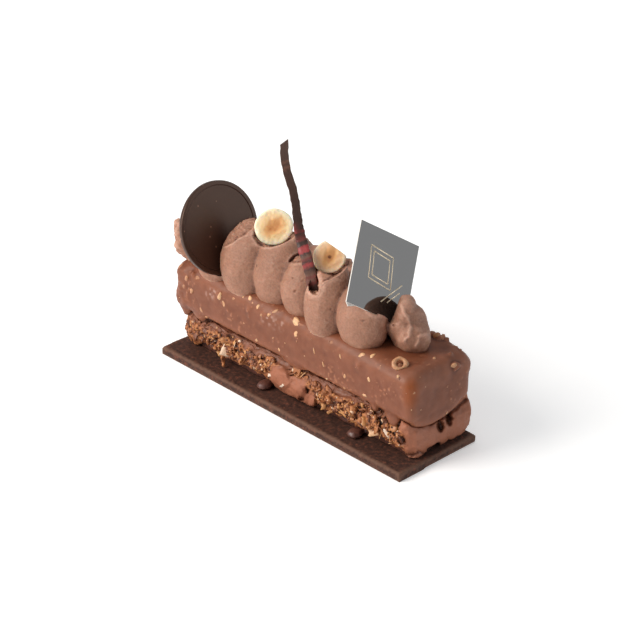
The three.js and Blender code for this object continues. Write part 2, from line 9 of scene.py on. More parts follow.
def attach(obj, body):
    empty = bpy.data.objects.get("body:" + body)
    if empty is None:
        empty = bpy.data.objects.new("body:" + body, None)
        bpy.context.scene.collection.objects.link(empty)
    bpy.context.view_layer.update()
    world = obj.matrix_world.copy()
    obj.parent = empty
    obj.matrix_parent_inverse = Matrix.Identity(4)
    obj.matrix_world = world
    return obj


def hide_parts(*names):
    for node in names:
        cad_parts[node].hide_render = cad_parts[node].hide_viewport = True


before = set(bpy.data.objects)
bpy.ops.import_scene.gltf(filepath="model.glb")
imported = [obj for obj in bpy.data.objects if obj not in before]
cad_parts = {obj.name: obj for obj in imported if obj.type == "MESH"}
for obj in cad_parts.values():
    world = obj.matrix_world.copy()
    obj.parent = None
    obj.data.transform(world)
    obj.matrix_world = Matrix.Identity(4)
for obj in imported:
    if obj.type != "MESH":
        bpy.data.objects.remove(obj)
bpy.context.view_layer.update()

mm = 0.001  # the cake is measured in millimetres, the scene in metres
cakeMiddleY = 3.5

# tools for every piece


def selectOnly(*pieces):
    bpy.ops.object.select_all(action="DESELECT")
    for piece in pieces:
        piece.select_set(True)
    bpy.context.view_layer.objects.active = pieces[-1]


def applyModifier(piece, kind, **settings):
    selectOnly(piece)
    modifier = piece.modifiers.new(kind.title(), kind)
    for name, value in settings.items():
        setattr(modifier, name, value)
    bpy.ops.object.modifier_apply(modifier=modifier.name)


def reskin(piece, voxel, rounds=0):
    # an even skin of small faces, then smoothed
    applyModifier(piece, "REMESH", mode="VOXEL", voxel_size=voxel * mm)
    if rounds:
        applyModifier(piece, "SMOOTH", factor=0.5, iterations=rounds)


def inEditMode(piece, *steps):
    # each step is an operator and its settings, run with the whole mesh selected
    selectOnly(piece)
    bpy.ops.object.mode_set(mode="EDIT")
    for operator, settings in steps:
        bpy.ops.mesh.select_all(action="SELECT")
        operator(**settings)
    bpy.ops.object.mode_set(mode="OBJECT")


def readAll(items, what, width, kind=float):
    # one row of values for each vertex, edge or face
    values = np.empty(len(items) * width, dtype=kind)
    items.foreach_get(what, values)
    return values.reshape(-1, width)


def readPoints(piece, what="co"):
    values = readAll(piece.data.vertices, what, 3)
    return values / mm if what == "co" else values


def writePoints(piece, points):
    piece.data.vertices.foreach_set("co", (points * mm).ravel())
    piece.data.update()


def pushOut(piece, amounts):
    normals = readPoints(piece, "normal")
    writePoints(piece, readPoints(piece) + normals * amounts[:, None])


def markPoints(piece, name, values):
    mark = piece.data.attributes.new(name, "FLOAT", "POINT")
    mark.data.foreach_set("value", np.asarray(values, dtype=np.float32))


def copyOfNode(nodeName, pieceName):
    # a finished piece starts from the merged mesh of its solid
    piece = bpy.data.objects.new(pieceName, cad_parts[nodeName].data.copy())
    bpy.context.scene.collection.objects.link(piece)
    inEditMode(piece, (bpy.ops.mesh.remove_doubles, {"threshold": 0.004 * mm}))
    return piece


def pieceFromMesh(name, points, faces):
    mesh = bpy.data.meshes.new(name)
    mesh.from_pydata([tuple(p * mm) for p in np.asarray(points, dtype=float)], [], faces)
    piece = bpy.data.objects.new(name, mesh)
    bpy.context.scene.collection.objects.link(piece)
    return piece


def joinPieces(name, pieces):
    selectOnly(*pieces)
    bpy.ops.object.join()
    joined = bpy.context.object
    joined.name = name
    joined.data.name = name
    return joined


def cutAway(piece, cutter, operation="DIFFERENCE"):
    applyModifier(piece, "BOOLEAN", object=cutter, operation=operation, solver="MANIFOLD")
    bpy.data.objects.remove(cutter)


def growOn(piece, other):
    cutAway(piece, other, "UNION")


def latticeValue(cells, seed):
    h = cells[:, 0] * 374761393 + cells[:, 1] * 668265263 + cells[:, 2] * 1274126177 + seed * 144665
    h = h & 0xffffffff
    h = ((h ^ (h >> 13)) * 1103515245) & 0xffffffff
    return ((h ^ (h >> 16)) & 0xffffff) / 0x7fffff - 1


def softNoise(points, size, seed=0):
    # smooth values between -1 and 1 that change over size mm
    spots = points / size
    base = np.floor(spots).astype(np.int64)
    part = spots - base
    part = part * part * (3 - 2 * part)
    total = np.zeros(len(points))
    for corner in itertools.product((0, 1), repeat=3):
        weight = np.prod(np.where(corner, part, 1 - part), axis=1)
        total += weight * latticeValue(base + np.array(corner), seed)
    return total


def ramp(values, start, end):
    share = np.clip((values - start) / (end - start), 0, 1)
    return share * share * (3 - 2 * share)


def roughen(piece, kind, size, depth, mask=None, **look):
    # a procedural texture pushes the surface in and out, mask holds one weight a point
    texture = bpy.data.textures.new(piece.name + "Grain", kind)
    texture.noise_scale = size * mm
    for name, value in look.items():
        setattr(texture, name, value)
    settings = {"texture": texture, "texture_coords": "LOCAL", "strength": depth * mm}
    if mask is not None:
        steps = 16
        group = piece.vertex_groups.new(name="grain")
        levels = np.round(mask * steps)
        for level in range(1, steps + 1):
            group.add(np.nonzero(levels == level)[0].tolist(), level / steps, "REPLACE")
        settings["vertex_group"] = group.name
    applyModifier(piece, "DISPLACE", **settings)
    piece.vertex_groups.clear()


def markRelief(piece, name, rounds, depth, even=0.0):
    # 1 on ridges and thin lips, 0 in hollows and creases, against the same surface smoothed;
    # where even is high, it stays near 0.5
    points = readPoints(piece)
    edges = readAll(piece.data.edges, "vertices", 2, np.int64)
    ends = np.concatenate([edges[:, 0], edges[:, 1]])
    others = np.concatenate([edges[:, 1], edges[:, 0]])
    neighbours = np.maximum(np.bincount(ends, minlength=len(points)), 1)
    smooth = points.copy()
    for _ in range(rounds):
        moved = [np.bincount(ends, smooth[others, axis], len(points)) for axis in range(3)]
        smooth = np.stack(moved, axis=1) / neighbours[:, None]
    rise = np.sum((points - smooth) * readPoints(piece, "normal"), axis=1)
    relief = np.clip(0.5 + 0.5 * rise / depth, 0, 1)
    markPoints(piece, name, relief + (0.5 - relief) * even)


def turnTo(across, out):
    # turns what lies in the XY plane, so that its X runs across and its Z looks out
    return Matrix((across, out.cross(across), out)).transposed()


# materials


def linear(hexColour):
    channels = [int(hexColour[i:i + 2], 16) / 255 for i in (1, 3, 5)]
    return [c / 12.92 if c <= 0.04045 else ((c + 0.055) / 1.055) ** 2.4 for c in channels] + [1]


def perMetre(size):
    return 1 / (size * mm)  # how many features of that size in mm fit in a metre


def addNode(material, kind, inputs, out=0, stops=None, **settings):
    # adds a node, sets or links its inputs, and answers with one of its outputs
    tree = material.node_tree
    made = tree.nodes.new("ShaderNode" + kind)
    for name, value in settings.items():
        setattr(made, name, value)
    for socket, value in inputs.items():
        if isinstance(value, bpy.types.NodeSocket):
            tree.links.new(value, made.inputs[socket])
        else:
            made.inputs[socket].default_value = value
    if stops:
        elements = made.color_ramp.elements
        while len(elements) < len(stops):
            elements.new(0.5)
        for element, (place, colour) in zip(elements, stops):
            element.position = place
            element.color = linear(colour) if isinstance(colour, str) else [colour] * 3 + [1]
    return made.outputs[out]


def newMaterial(name, **surface):
    material = bpy.data.materials.new(name)
    material.use_nodes = True
    shader = material.node_tree.nodes["Principled BSDF"]
    for socket, value in surface.items():
        shader.inputs[socket.replace("_", " ")].default_value = value
    return material, addNode(material, "TexCoord", {}, "Object")


def shadeBy(material, colour, share, stops):
    # the colour times the greys that the stops give for share
    grey = addNode(material, "ValToRGB", {"Fac": share}, stops=stops)
    return addNode(material, "Mix", {0: 1.0, 6: colour, 7: grey}, 2, data_type="RGBA",
                   blend_type="MULTIPLY")


def paintPatches(material, colour, finish, *patches):
    # each patch gets its colour in finish where the points are marked with its name
    for patch in patches:
        share = addNode(material, "Attribute", {}, "Fac", attribute_name=patch)
        colour = addNode(material, "Mix", {0: share, 6: colour, 7: linear(finish[patch])}, 2,
                         data_type="RGBA")
    return colour


def finishSurface(material, colour, height=None, depth=0.0, **values):
    # colour and other values go into the surface, and height raises it by up to depth mm
    tree = material.node_tree
    shader = tree.nodes["Principled BSDF"]
    tree.links.new(colour, shader.inputs["Base Color"])
    for socket, value in values.items():
        tree.links.new(value, shader.inputs[socket])
    if depth:
        bump = addNode(material, "Bump", {"Height": height, "Distance": depth * mm, "Strength": 1.0})
        tree.links.new(bump, shader.inputs["Normal"])
    return material


def driftMaterial(name, colours, size, detail, depth, **surface):
    # two close colours drift into each other over size mm, with relief of depth mm
    material, place = newMaterial(name, **surface)
    drift = addNode(material, "TexNoise", {"Vector": place, "Scale": perMetre(size), "Detail": detail})
    tone = addNode(material, "ValToRGB", {"Fac": drift}, stops=list(zip((0.3, 0.7), colours)))
    return finishSurface(material, tone, drift, depth)


def whippedGanache():
    # milk chocolate ganache whipped and piped: matte and moist, fine air holes; paler on thin lips and darker
    # in hollows as painted highlight and shade, darker between dollops as painted shade
    finish = {"light": "#bd917c", "body": "#9c6f59", "deep": "#683f30", "mottle": 6, "grain": 0.75}
    material, place = newMaterial("whippedGanache", Roughness=0.58, Specular_IOR_Level=0.35,
                                  Subsurface_Weight=0.12, Subsurface_Scale=0.0015)
    relief = addNode(material, "Attribute", {}, "Fac", attribute_name="relief")
    valley = addNode(material, "Attribute", {}, "Fac", attribute_name="valley")
    mottle = addNode(material, "TexNoise", {
        "Vector": place, "Scale": perMetre(finish["mottle"]), "Detail": 5.0})
    grain = addNode(material, "TexNoise", {
        "Vector": place, "Scale": perMetre(finish["grain"]), "Detail": 4.0})
    # the relief mark paints highlight on ridges and thin lips and shade in hollows
    colour = addNode(material, "ValToRGB", {"Fac": relief}, stops=[
        (0.1, finish["deep"]), (0.42, finish["body"]), (0.6, finish["body"]), (0.9, finish["light"])])
    colour = shadeBy(material, colour, mottle, [(0.35, 0.92), (0.65, 1.06)])
    # painted shade: darker between the dollops and at their foot, where the valley mark is low
    colour = shadeBy(material, colour, valley, [(0.1, 0.4), (0.5, 0.92), (0.7, 1.0)])
    colour = shadeBy(material, colour, grain, [(0.32, 0.84), (0.5, 0.99), (0.68, 1.07)])
    return finishSurface(material, colour, grain, 0.2)


def milkChocolateGlaze():
    # milk chocolate glaze with chopped nut, poured: satin, paler over the nuts; painted shade in hollows and
    # folds and painted highlight on ridges, and an orange painted highlight on the front right edge
    finish = {"body": "#74422c", "pale": "#88533b", "deep": "#5b301e", "edgeHighlight": "#8a461c",
              "nut": "#a87052", "bloom": "#a98678", "drift": 9, "grain": 1.2}
    material, place = newMaterial("milkChocolateGlaze", Roughness=0.44, Specular_IOR_Level=0.26,
                                  Subsurface_Weight=0.05, Subsurface_Scale=0.001)
    relief = addNode(material, "Attribute", {}, "Fac", attribute_name="relief")
    drift = addNode(material, "TexNoise", {
        "Vector": place, "Scale": perMetre(finish["drift"]), "Detail": 3.0})
    grain = addNode(material, "TexNoise", {
        "Vector": place, "Scale": perMetre(finish["grain"]), "Detail": 4.0})
    # painted shade in hollows and folds and painted highlight on ridges, from the relief mark
    colour = addNode(material, "ValToRGB", {"Fac": relief}, stops=[
        (0.2, finish["deep"]), (0.45, finish["body"]), (0.85, finish["pale"])])
    colour = shadeBy(material, colour, drift, [(0.35, 0.94), (0.65, 1.05)])
    # one patch is an orange painted highlight on the bar's front right edge; bloom and nut are the glaze's
    # own colour
    colour = paintPatches(material, colour, finish, "edgeHighlight", "bloom", "nut")
    return finishSurface(material, colour, grain, 0.06)


def choppedHazelnut():
    # chopped hazelnut, toasted: pale cream inside, golden to brown at its faces
    finish = {"pale": "#e2b384", "golden": "#ab7451", "brown": "#7d4d33", "spot": 0.7}
    material, place = newMaterial("choppedHazelnut", Roughness=0.5, Subsurface_Weight=0.1,
                                  Subsurface_Scale=0.0008)
    tone = addNode(material, "Attribute", {}, "Fac", attribute_name="tone")
    spots = addNode(material, "TexNoise", {
        "Vector": place, "Scale": perMetre(finish["spot"]), "Detail": 4.0})
    colour = addNode(material, "ValToRGB", {"Fac": tone}, stops=[
        (0.0, finish["brown"]), (0.5, finish["golden"]), (1.0, finish["pale"])])
    colour = shadeBy(material, colour, spots, [(0.35, 0.8), (0.65, 1.1)])
    return finishSurface(material, colour, spots, 0.08)


def waferCrunch():
    # crushed wafer and nut bound with chocolate: open crumb; pale tips and dark hollows partly as painted
    # highlight and shade, glossy dark patches partly painted shade
    finish = {"tip": "#b37347", "body": "#734029", "hollow": "#472416", "coated": "#9b6148",
              "wetAndShade": "#35190f", "crumb": 1.1}
    material, place = newMaterial("waferCrunch", Roughness=0.55, Specular_IOR_Level=0.3)
    relief = addNode(material, "Attribute", {}, "Fac", attribute_name="relief")
    wetAndShade = addNode(material, "Attribute", {}, "Fac", attribute_name="wetAndShade")
    crumb = addNode(material, "TexNoise", {
        "Vector": place, "Scale": perMetre(finish["crumb"]), "Detail": 5.0})
    # painted shade in the hollows and painted highlight on the tips, from the relief mark, mixed with the
    # crumb's own random tone
    both = addNode(material, "Math", {0: relief, 1: crumb}, operation="ADD")
    halved = addNode(material, "Math", {0: both, 1: 0.5}, operation="MULTIPLY")
    colour = addNode(material, "ValToRGB", {"Fac": halved}, stops=[
        (0.3, finish["hollow"]), (0.47, finish["body"]), (0.66, finish["tip"])])
    # the darkest patch is glossy dark chocolate, and painted shade in creases and under the bar's lip
    colour = paintPatches(material, colour, finish, "coated", "wetAndShade")
    shine = addNode(material, "MapRange", {"Value": wetAndShade, "To Min": 0.55, "To Max": 0.25})
    return finishSurface(material, colour, crumb, 0.15, Roughness=shine)


def crunchBits():
    # loose wafer crumbs and flakes in the crunch: pale biscuit to caramel brown
    material, place = newMaterial("crunchBits", Roughness=0.45)
    tone = addNode(material, "Attribute", {}, "Fac", attribute_name="tone")
    colour = addNode(material, "ValToRGB", {"Fac": tone}, stops=[
        (0.0, "#522a1a"), (0.35, "#774227"), (0.7, "#a3653a"), (0.92, "#cf965c"), (1.0, "#ead3bd")])
    fine = addNode(material, "TexNoise", {"Vector": place, "Scale": perMetre(0.5), "Detail": 3.0})
    return finishSurface(material, colour, fine, 0.08)


def cocoaShortbread():
    # cocoa shortbread, baked and cut: dry and matte, fine crumb with reddish grains, lighter edges
    finish = {"dark": "#321d17", "body": "#4b2e23", "grain": "#7c4533", "edge": "#70503f", "crumb": 1.6}
    material, place = newMaterial("cocoaShortbread", Roughness=0.75, Specular_IOR_Level=0.3)
    relief = addNode(material, "Attribute", {}, "Fac", attribute_name="relief")
    crumb = addNode(material, "TexNoise", {
        "Vector": place, "Scale": perMetre(finish["crumb"]), "Detail": 6.0, "Roughness": 0.65})
    tone = addNode(material, "ValToRGB", {"Fac": crumb}, stops=[
        (0.35, finish["dark"]), (0.55, finish["body"]), (0.72, finish["grain"])])
    # lighter colour on ridges and edges, where the relief mark is high
    ridgeShare = addNode(material, "ValToRGB", {"Fac": relief}, stops=[(0.6, 0.0), (1.0, 0.7)])
    colour = addNode(material, "Mix", {0: ridgeShare, 6: tone, 7: linear(finish["edge"])}, 2, data_type="RGBA")
    return finishSurface(material, colour, crumb, 0.2)


def darkGanache():
    # dark ganache piped as small drops: smooth with a soft sheen
    return driftMaterial("darkGanache", ("#4f2f27", "#633d33"), 5, 2.0, 0.05, Roughness=0.38)


def temperedDarkChocolate():
    # dark chocolate set on acetate: even satin, a few small bubbles, faint swirl
    finish = {"dark": "#2a1711", "light": "#342017", "bubble": "#7d5a4a", "swirl": 12, "bubbles": 4.5,
              "grain": 0.35}
    material, place = newMaterial("temperedDarkChocolate", Roughness=0.36, Specular_IOR_Level=0.68,
                                  Specular_Tint=linear("#f2cdbb"))
    swirl = addNode(material, "TexNoise", {
        "Vector": place, "Scale": perMetre(finish["swirl"]), "Detail": 3.0})
    near = addNode(material, "TexVoronoi", {"Vector": place, "Scale": perMetre(finish["bubbles"])})
    grain = addNode(material, "TexNoise", {
        "Vector": place, "Scale": perMetre(finish["grain"]), "Detail": 2.0})
    tone = addNode(material, "ValToRGB", {"Fac": swirl}, stops=[
        (0.3, finish["dark"]), (0.7, finish["light"])])
    bubble = addNode(material, "ValToRGB", {"Fac": near}, stops=[(0.06, 0.8), (0.1, 0.0)])
    colour = addNode(material, "Mix", {0: bubble, 6: tone, 7: linear(finish["bubble"])}, 2,
                     data_type="RGBA")
    return finishSurface(material, colour, grain, 0.012)


def printedChocolate(length):
    # dark chocolate strip with red cocoa butter printed across it: satin, uneven bands towards its foot
    finish = {"chocolate": "#4e362d", "dark": "#3e2822", "red": "#993838", "rose": "#70352f",
              "pale": "#6d4a3d", "slant": 0.14, "wobble": 1.8}
    bands = [  # share of the strip's length from its top, colour from there on
        (0.0, "chocolate"), (0.085, "chocolate"), (0.095, "pale"), (0.11, "chocolate"), (0.125, "pale"),
        (0.14, "chocolate"), (0.56, "dark"), (0.625, "rose"), (0.64, "dark"), (0.672, "dark"),
        (0.685, "red"), (0.735, "red"), (0.745, "dark"), (0.775, "pale"), (0.785, "rose"), (0.81, "dark"),
        (0.825, "red"), (0.845, "rose"), (0.855, "dark"), (0.89, "pale"), (0.9, "rose"), (0.92, "pale"),
        (0.93, "rose"), (0.95, "dark"), (1.0, "dark")]
    material = newMaterial("printedChocolate", Roughness=0.42, Specular_IOR_Level=0.35)[0]
    strip = addNode(material, "UVMap", {}, "UV")  # in mm across and down the strip
    across = addNode(material, "SeparateXYZ", {"Vector": strip}, "X")
    down = addNode(material, "SeparateXYZ", {"Vector": strip}, "Y")
    wobble = addNode(material, "TexNoise", {"Vector": strip, "Scale": 1.1, "Detail": 4.0})
    slanted = addNode(material, "Math", {0: across, 1: finish["slant"], 2: down}, operation="MULTIPLY_ADD")
    uneven = addNode(material, "Math", {0: wobble, 1: finish["wobble"], 2: slanted},
                     operation="MULTIPLY_ADD")
    share = addNode(material, "MapRange", {
        "Value": uneven, "From Min": finish["wobble"] / 2, "From Max": length + finish["wobble"] / 2})
    colour = addNode(material, "ValToRGB", {"Fac": share},
                     stops=[(spot, finish[name]) for spot, name in bands])
    stretch = addNode(material, "Mapping", {"Vector": strip, "Scale": (6.0, 0.5, 1.0)})
    streaks = addNode(material, "TexNoise", {"Vector": stretch, "Scale": 1.0, "Detail": 3.0})
    colour = shadeBy(material, colour, streaks, [(0.3, 0.7), (0.7, 1.15)])
    colour = paintPatches(material, colour, finish, "red")
    return finishSurface(material, colour, streaks, 0.03)


def toastedHazelnut(rim, flesh):
    # hazelnut half, lightly toasted: ivory rim, golden flesh, tan heart, dry satin
    finish = {"heart": "#ecb67a", "tan": "#cf8b52", "core": "#7d4a2c", "mottle": 1.6}
    material, place = newMaterial("toastedHazelnut", Roughness=0.48, Subsurface_Weight=0.4,
                                  Subsurface_Radius=(1, 0.62, 0.35), Subsurface_Scale=0.002)
    heart = addNode(material, "Attribute", {}, "Fac", attribute_name="heart")
    mottle = addNode(material, "TexNoise", {
        "Vector": place, "Scale": perMetre(finish["mottle"]), "Detail": 4.0})
    shift = addNode(material, "Math", {0: mottle, 1: 0.5}, operation="SUBTRACT")
    soft = addNode(material, "Math", {0: shift, 1: 0.22, 2: heart}, operation="MULTIPLY_ADD")
    tone = addNode(material, "ValToRGB", {"Fac": soft}, stops=[
        (0.0, rim), (0.35, flesh), (0.65, finish["heart"]), (0.9, finish["tan"]), (1.0, finish["core"])])
    return finishSurface(material, tone, mottle, 0.06)


def laminatedCard():
    # black printed card under gloss film: mirrors the studio as an even mid grey, and the cream dark
    return driftMaterial("laminatedCard", ("#101112", "#151617"), 20, 1.0, 0, Roughness=0.06, IOR=1.9,
                         Coat_Weight=0.6, Coat_Roughness=0.04)


def paperCore():
    # uncoated white paper where the card is cut: matte, fibrous
    return driftMaterial("paperCore", ("#cfc9c2", "#ece8e2"), 0.4, 4.0, 0.02, Roughness=0.85)


def goldFoil():
    # pale gold hot foil: thin metal film, soft mirror with faint speckle
    return driftMaterial("goldFoil", ("#e3cfae", "#f2e2c6"), 0.6, 2.0, 0, Roughness=0.35, Metallic=0.6)


def finishPiece(piece, material, slotName, *nodeNames):
    piece.data.materials.clear()
    piece.data.materials.append(material)
    selectOnly(piece)
    bpy.ops.object.shade_smooth()
    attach(piece, "root")
    if nodeNames:
        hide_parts(*nodeNames)
    print(piece.name, len(piece.data.polygons), "faces")


# camera, light and floor

view = {"azimuth": 46.1, "elevation": 28.93, "distance": 1.0, "aim": (-0.0087, 0.0113, 0.0254),
        "focal": 148.1, "sensor": 36, "pixels": 640, "pixelsPerMm": 2.63}
cameraWay = np.array([0.6306, -0.607, 0.4838])  # from the cake to the camera
frameUp = np.array([-0.3486, 0.3355, 0.875])
faceWay = Vector(cameraWay)
faceAcross = Vector((0.6935, 0.7206, 0))  # the frame's right; the nuts' cut faces look at the camera
lights = [
    # name, direction from the cake, distance, width, height, watts, colour, lights matte surfaces
    ("keySoftbox", (-0.5, -0.8, 0.66), 1.1, 0.7, 0.7, 12.7, "#fffaf4", True),
    ("topSoftbox", (-0.2, 0.2, 1.0), 1.2, 0.9, 0.9, 2.6, "#ffffff", True),
    ("backSoftbox", (0.7, 0.71, 0.36), 1.3, 1.5, 1.0, 4.8, "#ffffff", False),
]


def placeCamera():
    turn = math.radians(view["azimuth"])
    tilt = math.radians(view["elevation"])
    back = Vector((math.sin(turn) * math.cos(tilt), -math.cos(turn) * math.cos(tilt), math.sin(tilt)))
    bpy.ops.object.camera_add(location=Vector(view["aim"]) + back * view["distance"],
                              rotation=(math.pi / 2 - tilt, 0, turn))
    camera = bpy.context.object
    camera.name = "photoCamera"
    camera.data.lens = view["focal"]
    camera.data.sensor_width = view["sensor"]
    camera.data.clip_start = 0.05
    bpy.context.scene.camera = camera


def framePlaces(points):
    # the pixels of the photo's frame where points in mm show
    camera = bpy.context.scene.camera
    bpy.context.view_layer.update()
    toCamera = np.array(camera.matrix_world.inverted())
    seen = np.c_[points * mm, np.ones(len(points))] @ toCamera.T
    scale = view["focal"] / view["sensor"] * view["pixels"]
    middle = view["pixels"] / 2
    return np.stack([middle - scale * seen[:, 0] / seen[:, 2],
                     middle + scale * seen[:, 1] / seen[:, 2]], axis=1)


def fromLine(places, line):
    # distance in pixels from a line of corners in the frame
    corners = np.array(line, dtype=float)
    nearest = np.full(len(places), 1e6)
    for a, b in zip(corners[:-1], corners[1:]):
        along = np.clip((places - a) @ (b - a) / ((b - a) @ (b - a)), 0, 1)
        nearest = np.minimum(nearest, np.linalg.norm(places - a - along[:, None] * (b - a), axis=1))
    return nearest


def insideOutline(places, outline):
    # distance in pixels from a closed outline, above 0 inside it
    inside = np.zeros(len(places), dtype=bool)
    closed = list(outline) + [outline[0]]
    for (ax, ay), (bx, by) in zip(closed[:-1], closed[1:]):
        crosses = (ay > places[:, 1]) != (by > places[:, 1])
        inside ^= crosses & (places[:, 0] < ax + (places[:, 1] - ay) / ((by - ay) or 1e-6) * (bx - ax))
    away = fromLine(places, closed)
    return np.where(inside, away, -away)


def photoSide(piece, ragged=0.0, seed=0):
    # each point's pixel, pulled about by ragged pixels, and 1 where it faces the camera
    points = readPoints(piece)
    pull = np.stack([softNoise(points, 1.3, seed), softNoise(points, 1.3, seed + 1)], axis=1)
    return framePlaces(points) + ragged * pull, ramp(readPoints(piece, "normal") @ cameraWay, 0, 0.25)


def sinkInside(piece, outline, depth, edge, ragged, seed):
    # what shows inside an outline of the frame goes back by depth mm, over edge pixels at its rim
    places, facing = photoSide(piece, ragged, seed)
    share = ramp(insideOutline(places, outline), 0, edge) * facing
    writePoints(piece, readPoints(piece) - depth * share[:, None] * cameraWay)
    return share


def raiseAlong(piece, line, height, width, ragged, seed=0):
    # a ridge of height mm along a line of the frame, or a crease where height is below 0
    places, facing = photoSide(piece, ragged, seed)
    share = (1 - ramp(fromLine(places, line), 0, width)) * facing
    writePoints(piece, readPoints(piece) + height * share[:, None] * cameraWay)
    return share


def spotShare(piece, centre, half, ragged, seed):
    # 1 in the middle of a round place in the frame, 0 around it
    places, facing = photoSide(piece, ragged, seed)
    away = np.linalg.norm((places - np.array(centre)) / np.array(half), axis=1)
    return (1 - ramp(away, 0.45, 1.25)) * facing


def moveSpots(piece, spots, way, ragged=1.0):
    # round places in the frame come forward (way 1) or go back (way -1)
    share = np.zeros(len(piece.data.vertices))
    for number, (centre, half, depth) in enumerate(spots):
        here = spotShare(piece, centre, half, ragged, number)
        writePoints(piece, readPoints(piece) + way * depth * here[:, None] * cameraWay)
        share = np.maximum(share, here)
    return share


def castPixel(surface, pixel):
    # where the line of sight through a pixel of the frame meets a surface, and which way it faces
    camera = bpy.context.scene.camera
    scale = view["focal"] / view["sensor"] * view["pixels"]
    middle = view["pixels"] / 2
    ray = Vector(((pixel[0] - middle) / scale, (middle - pixel[1]) / scale, -1))
    way = (camera.matrix_world.to_3x3() @ ray).normalized()
    hit, place, normal, _ = surface.ray_cast(camera.matrix_world.translation, way)
    return (place, normal) if hit else None


def placeLights():
    for name, direction, distance, width, height, watts, colour, onMatte in lights:
        spot = Vector(direction).normalized() * distance
        bpy.ops.object.light_add(type="AREA", location=spot,
                                 rotation=spot.to_track_quat("Z", "Y").to_euler())
        lamp = bpy.context.object
        lamp.name = name
        lamp.data.shape = "RECTANGLE"
        lamp.data.size = width
        lamp.data.size_y = height
        lamp.data.energy = watts
        lamp.data.color = linear(colour)[:3]
        lamp.visible_diffuse = onMatte
        lamp.visible_camera = False
    world = bpy.data.worlds.new("paleStudio")
    world.use_nodes = True
    world.node_tree.nodes["Background"].inputs["Color"].default_value = linear("#f2f4f6")
    world.node_tree.nodes["Background"].inputs["Strength"].default_value = 0.42
    bpy.context.scene.world = world
    bpy.context.scene.view_settings.view_transform = "Standard"


def placeFloor():
    bpy.ops.mesh.primitive_plane_add(size=6, location=(0, 0, 0))
    floor = bpy.context.object
    floor.name = "floor"
    floor.data.materials.append(newMaterial(
        "paleFloor", Base_Color=linear("#fafafa"), Roughness=0.8, Emission_Color=linear("#ffffff"),
        Emission_Strength=0.28)[0])


placeCamera()
placeLights()
placeFloor()
print("camera, light and floor are in place")

# biscuit plate

plate = {"voxel": 0.5, "lump": 5, "lumpDepth": 0.3, "crumb": 1.1, "crumbDepth": 0.28}


def makePlate():
    piece = copyOfNode("sable_base", "cocoa_plate")
    reskin(piece, plate["voxel"])
    for size, depth in ((plate["lump"], plate["lumpDepth"]), (plate["crumb"], plate["crumbDepth"])):
        above = ramp(readPoints(piece)[:, 2], 0.1, 0.8)  # the underside stays flat
        roughen(piece, "CLOUDS", size, depth, above)
    markRelief(piece, "relief", 8, 0.25)
    finishPiece(piece, cocoaShortbread(), "cocoa_biscuit", "sable_base")


makePlate()

# ganache drops

drops = {"voxel": 0.4, "smear": 1.4, "lump": 4, "lumpDepth": 0.7}


def makeDrops():
    piece = copyOfNode("ganache", "ganache_drops")
    reskin(piece, drops["voxel"], 6)
    points = readPoints(piece)
    points[:, 1] -= drops["smear"] * ramp(-points[:, 1], 8, 14)  # squeezed out at the front
    writePoints(piece, points)
    roughen(piece, "CLOUDS", drops["lump"], drops["lumpDepth"])
    finishPiece(piece, darkGanache(), "ganache", "ganache")


makeDrops()

# crunchy layer

crunch = {"voxel": 0.45, "lump": 6, "lumpDepth": 2.2, "coatLump": 4, "coatLumpDepth": 1.6, "crag": 2.1,
          "cragDepth": 1.5, "crumb": 0.9, "crumbDepth": 0.6, "top": 19.15, "lip": 3.3, "endWider": 1.5,
          "setBack": 1.7, "crumbs": 1300, "flakes": 170, "seed": 61}
# the hollows go back and are darkened: glossy chocolate in them, with painted shade
hollows = [  # centre and half sizes in the photo's pixels, depth in mm: dark wet hollows
    ((262, 358), (4, 3), 1.8), ((361, 409), (7, 4), 1.6), ((381, 421), (5, 5), 2), ((394, 430), (5, 5), 2),
    ((440, 426), (4, 6), 3.2), ((449, 419), (3.5, 7), 3.2), ((434, 451), (8, 5.5), 3),
    ((308, 390), (2.5, 4), 2), ((301, 400), (3, 3), 2), ((266, 380), (4, 3), 2), ((318, 404), (3, 4), 2),
    ((293, 374), (3, 2.5), 1.6), ((213, 341), (5, 4), 1.5), ((236, 352), (4, 4), 1.5),
    ((402, 441), (4, 5), 2),
]
swells = [  # the same, where glaze has run down and stands proud
    ((281, 379), (11, 10), 2.2), ((297, 392), (8, 10), 1.6), ((312, 403), (3, 8), 1.6),
    ((445, 449), (3, 5), 1.2), ((412, 430), (13, 9), 1.8), ((461, 424), (7, 12), 0.8),
    ((355, 400), (14, 4), 0.8), ((392, 416), (6, 8), 0.8),
]
glazedRun = [(269, 373), (273, 366), (284, 367), (293, 376), (303, 380), (308, 387), (315, 397), (314, 411),
             (309, 408), (304, 404), (298, 405), (288, 399), (276, 392), (270, 385)]
pit = {"pixel": (434, 448), "half": (3, 3, 2.2)}  # a deep hole at the foot of the glazed end, sizes in mm
bottomLine = [(404, 454), (412, 455), (419, 452), (427, 455)]  # the ragged foot of the glazed end
foldLine = [(430, 424), (440, 419), (449, 413), (458, 407), (466, 399)]  # a crease under the bar's end
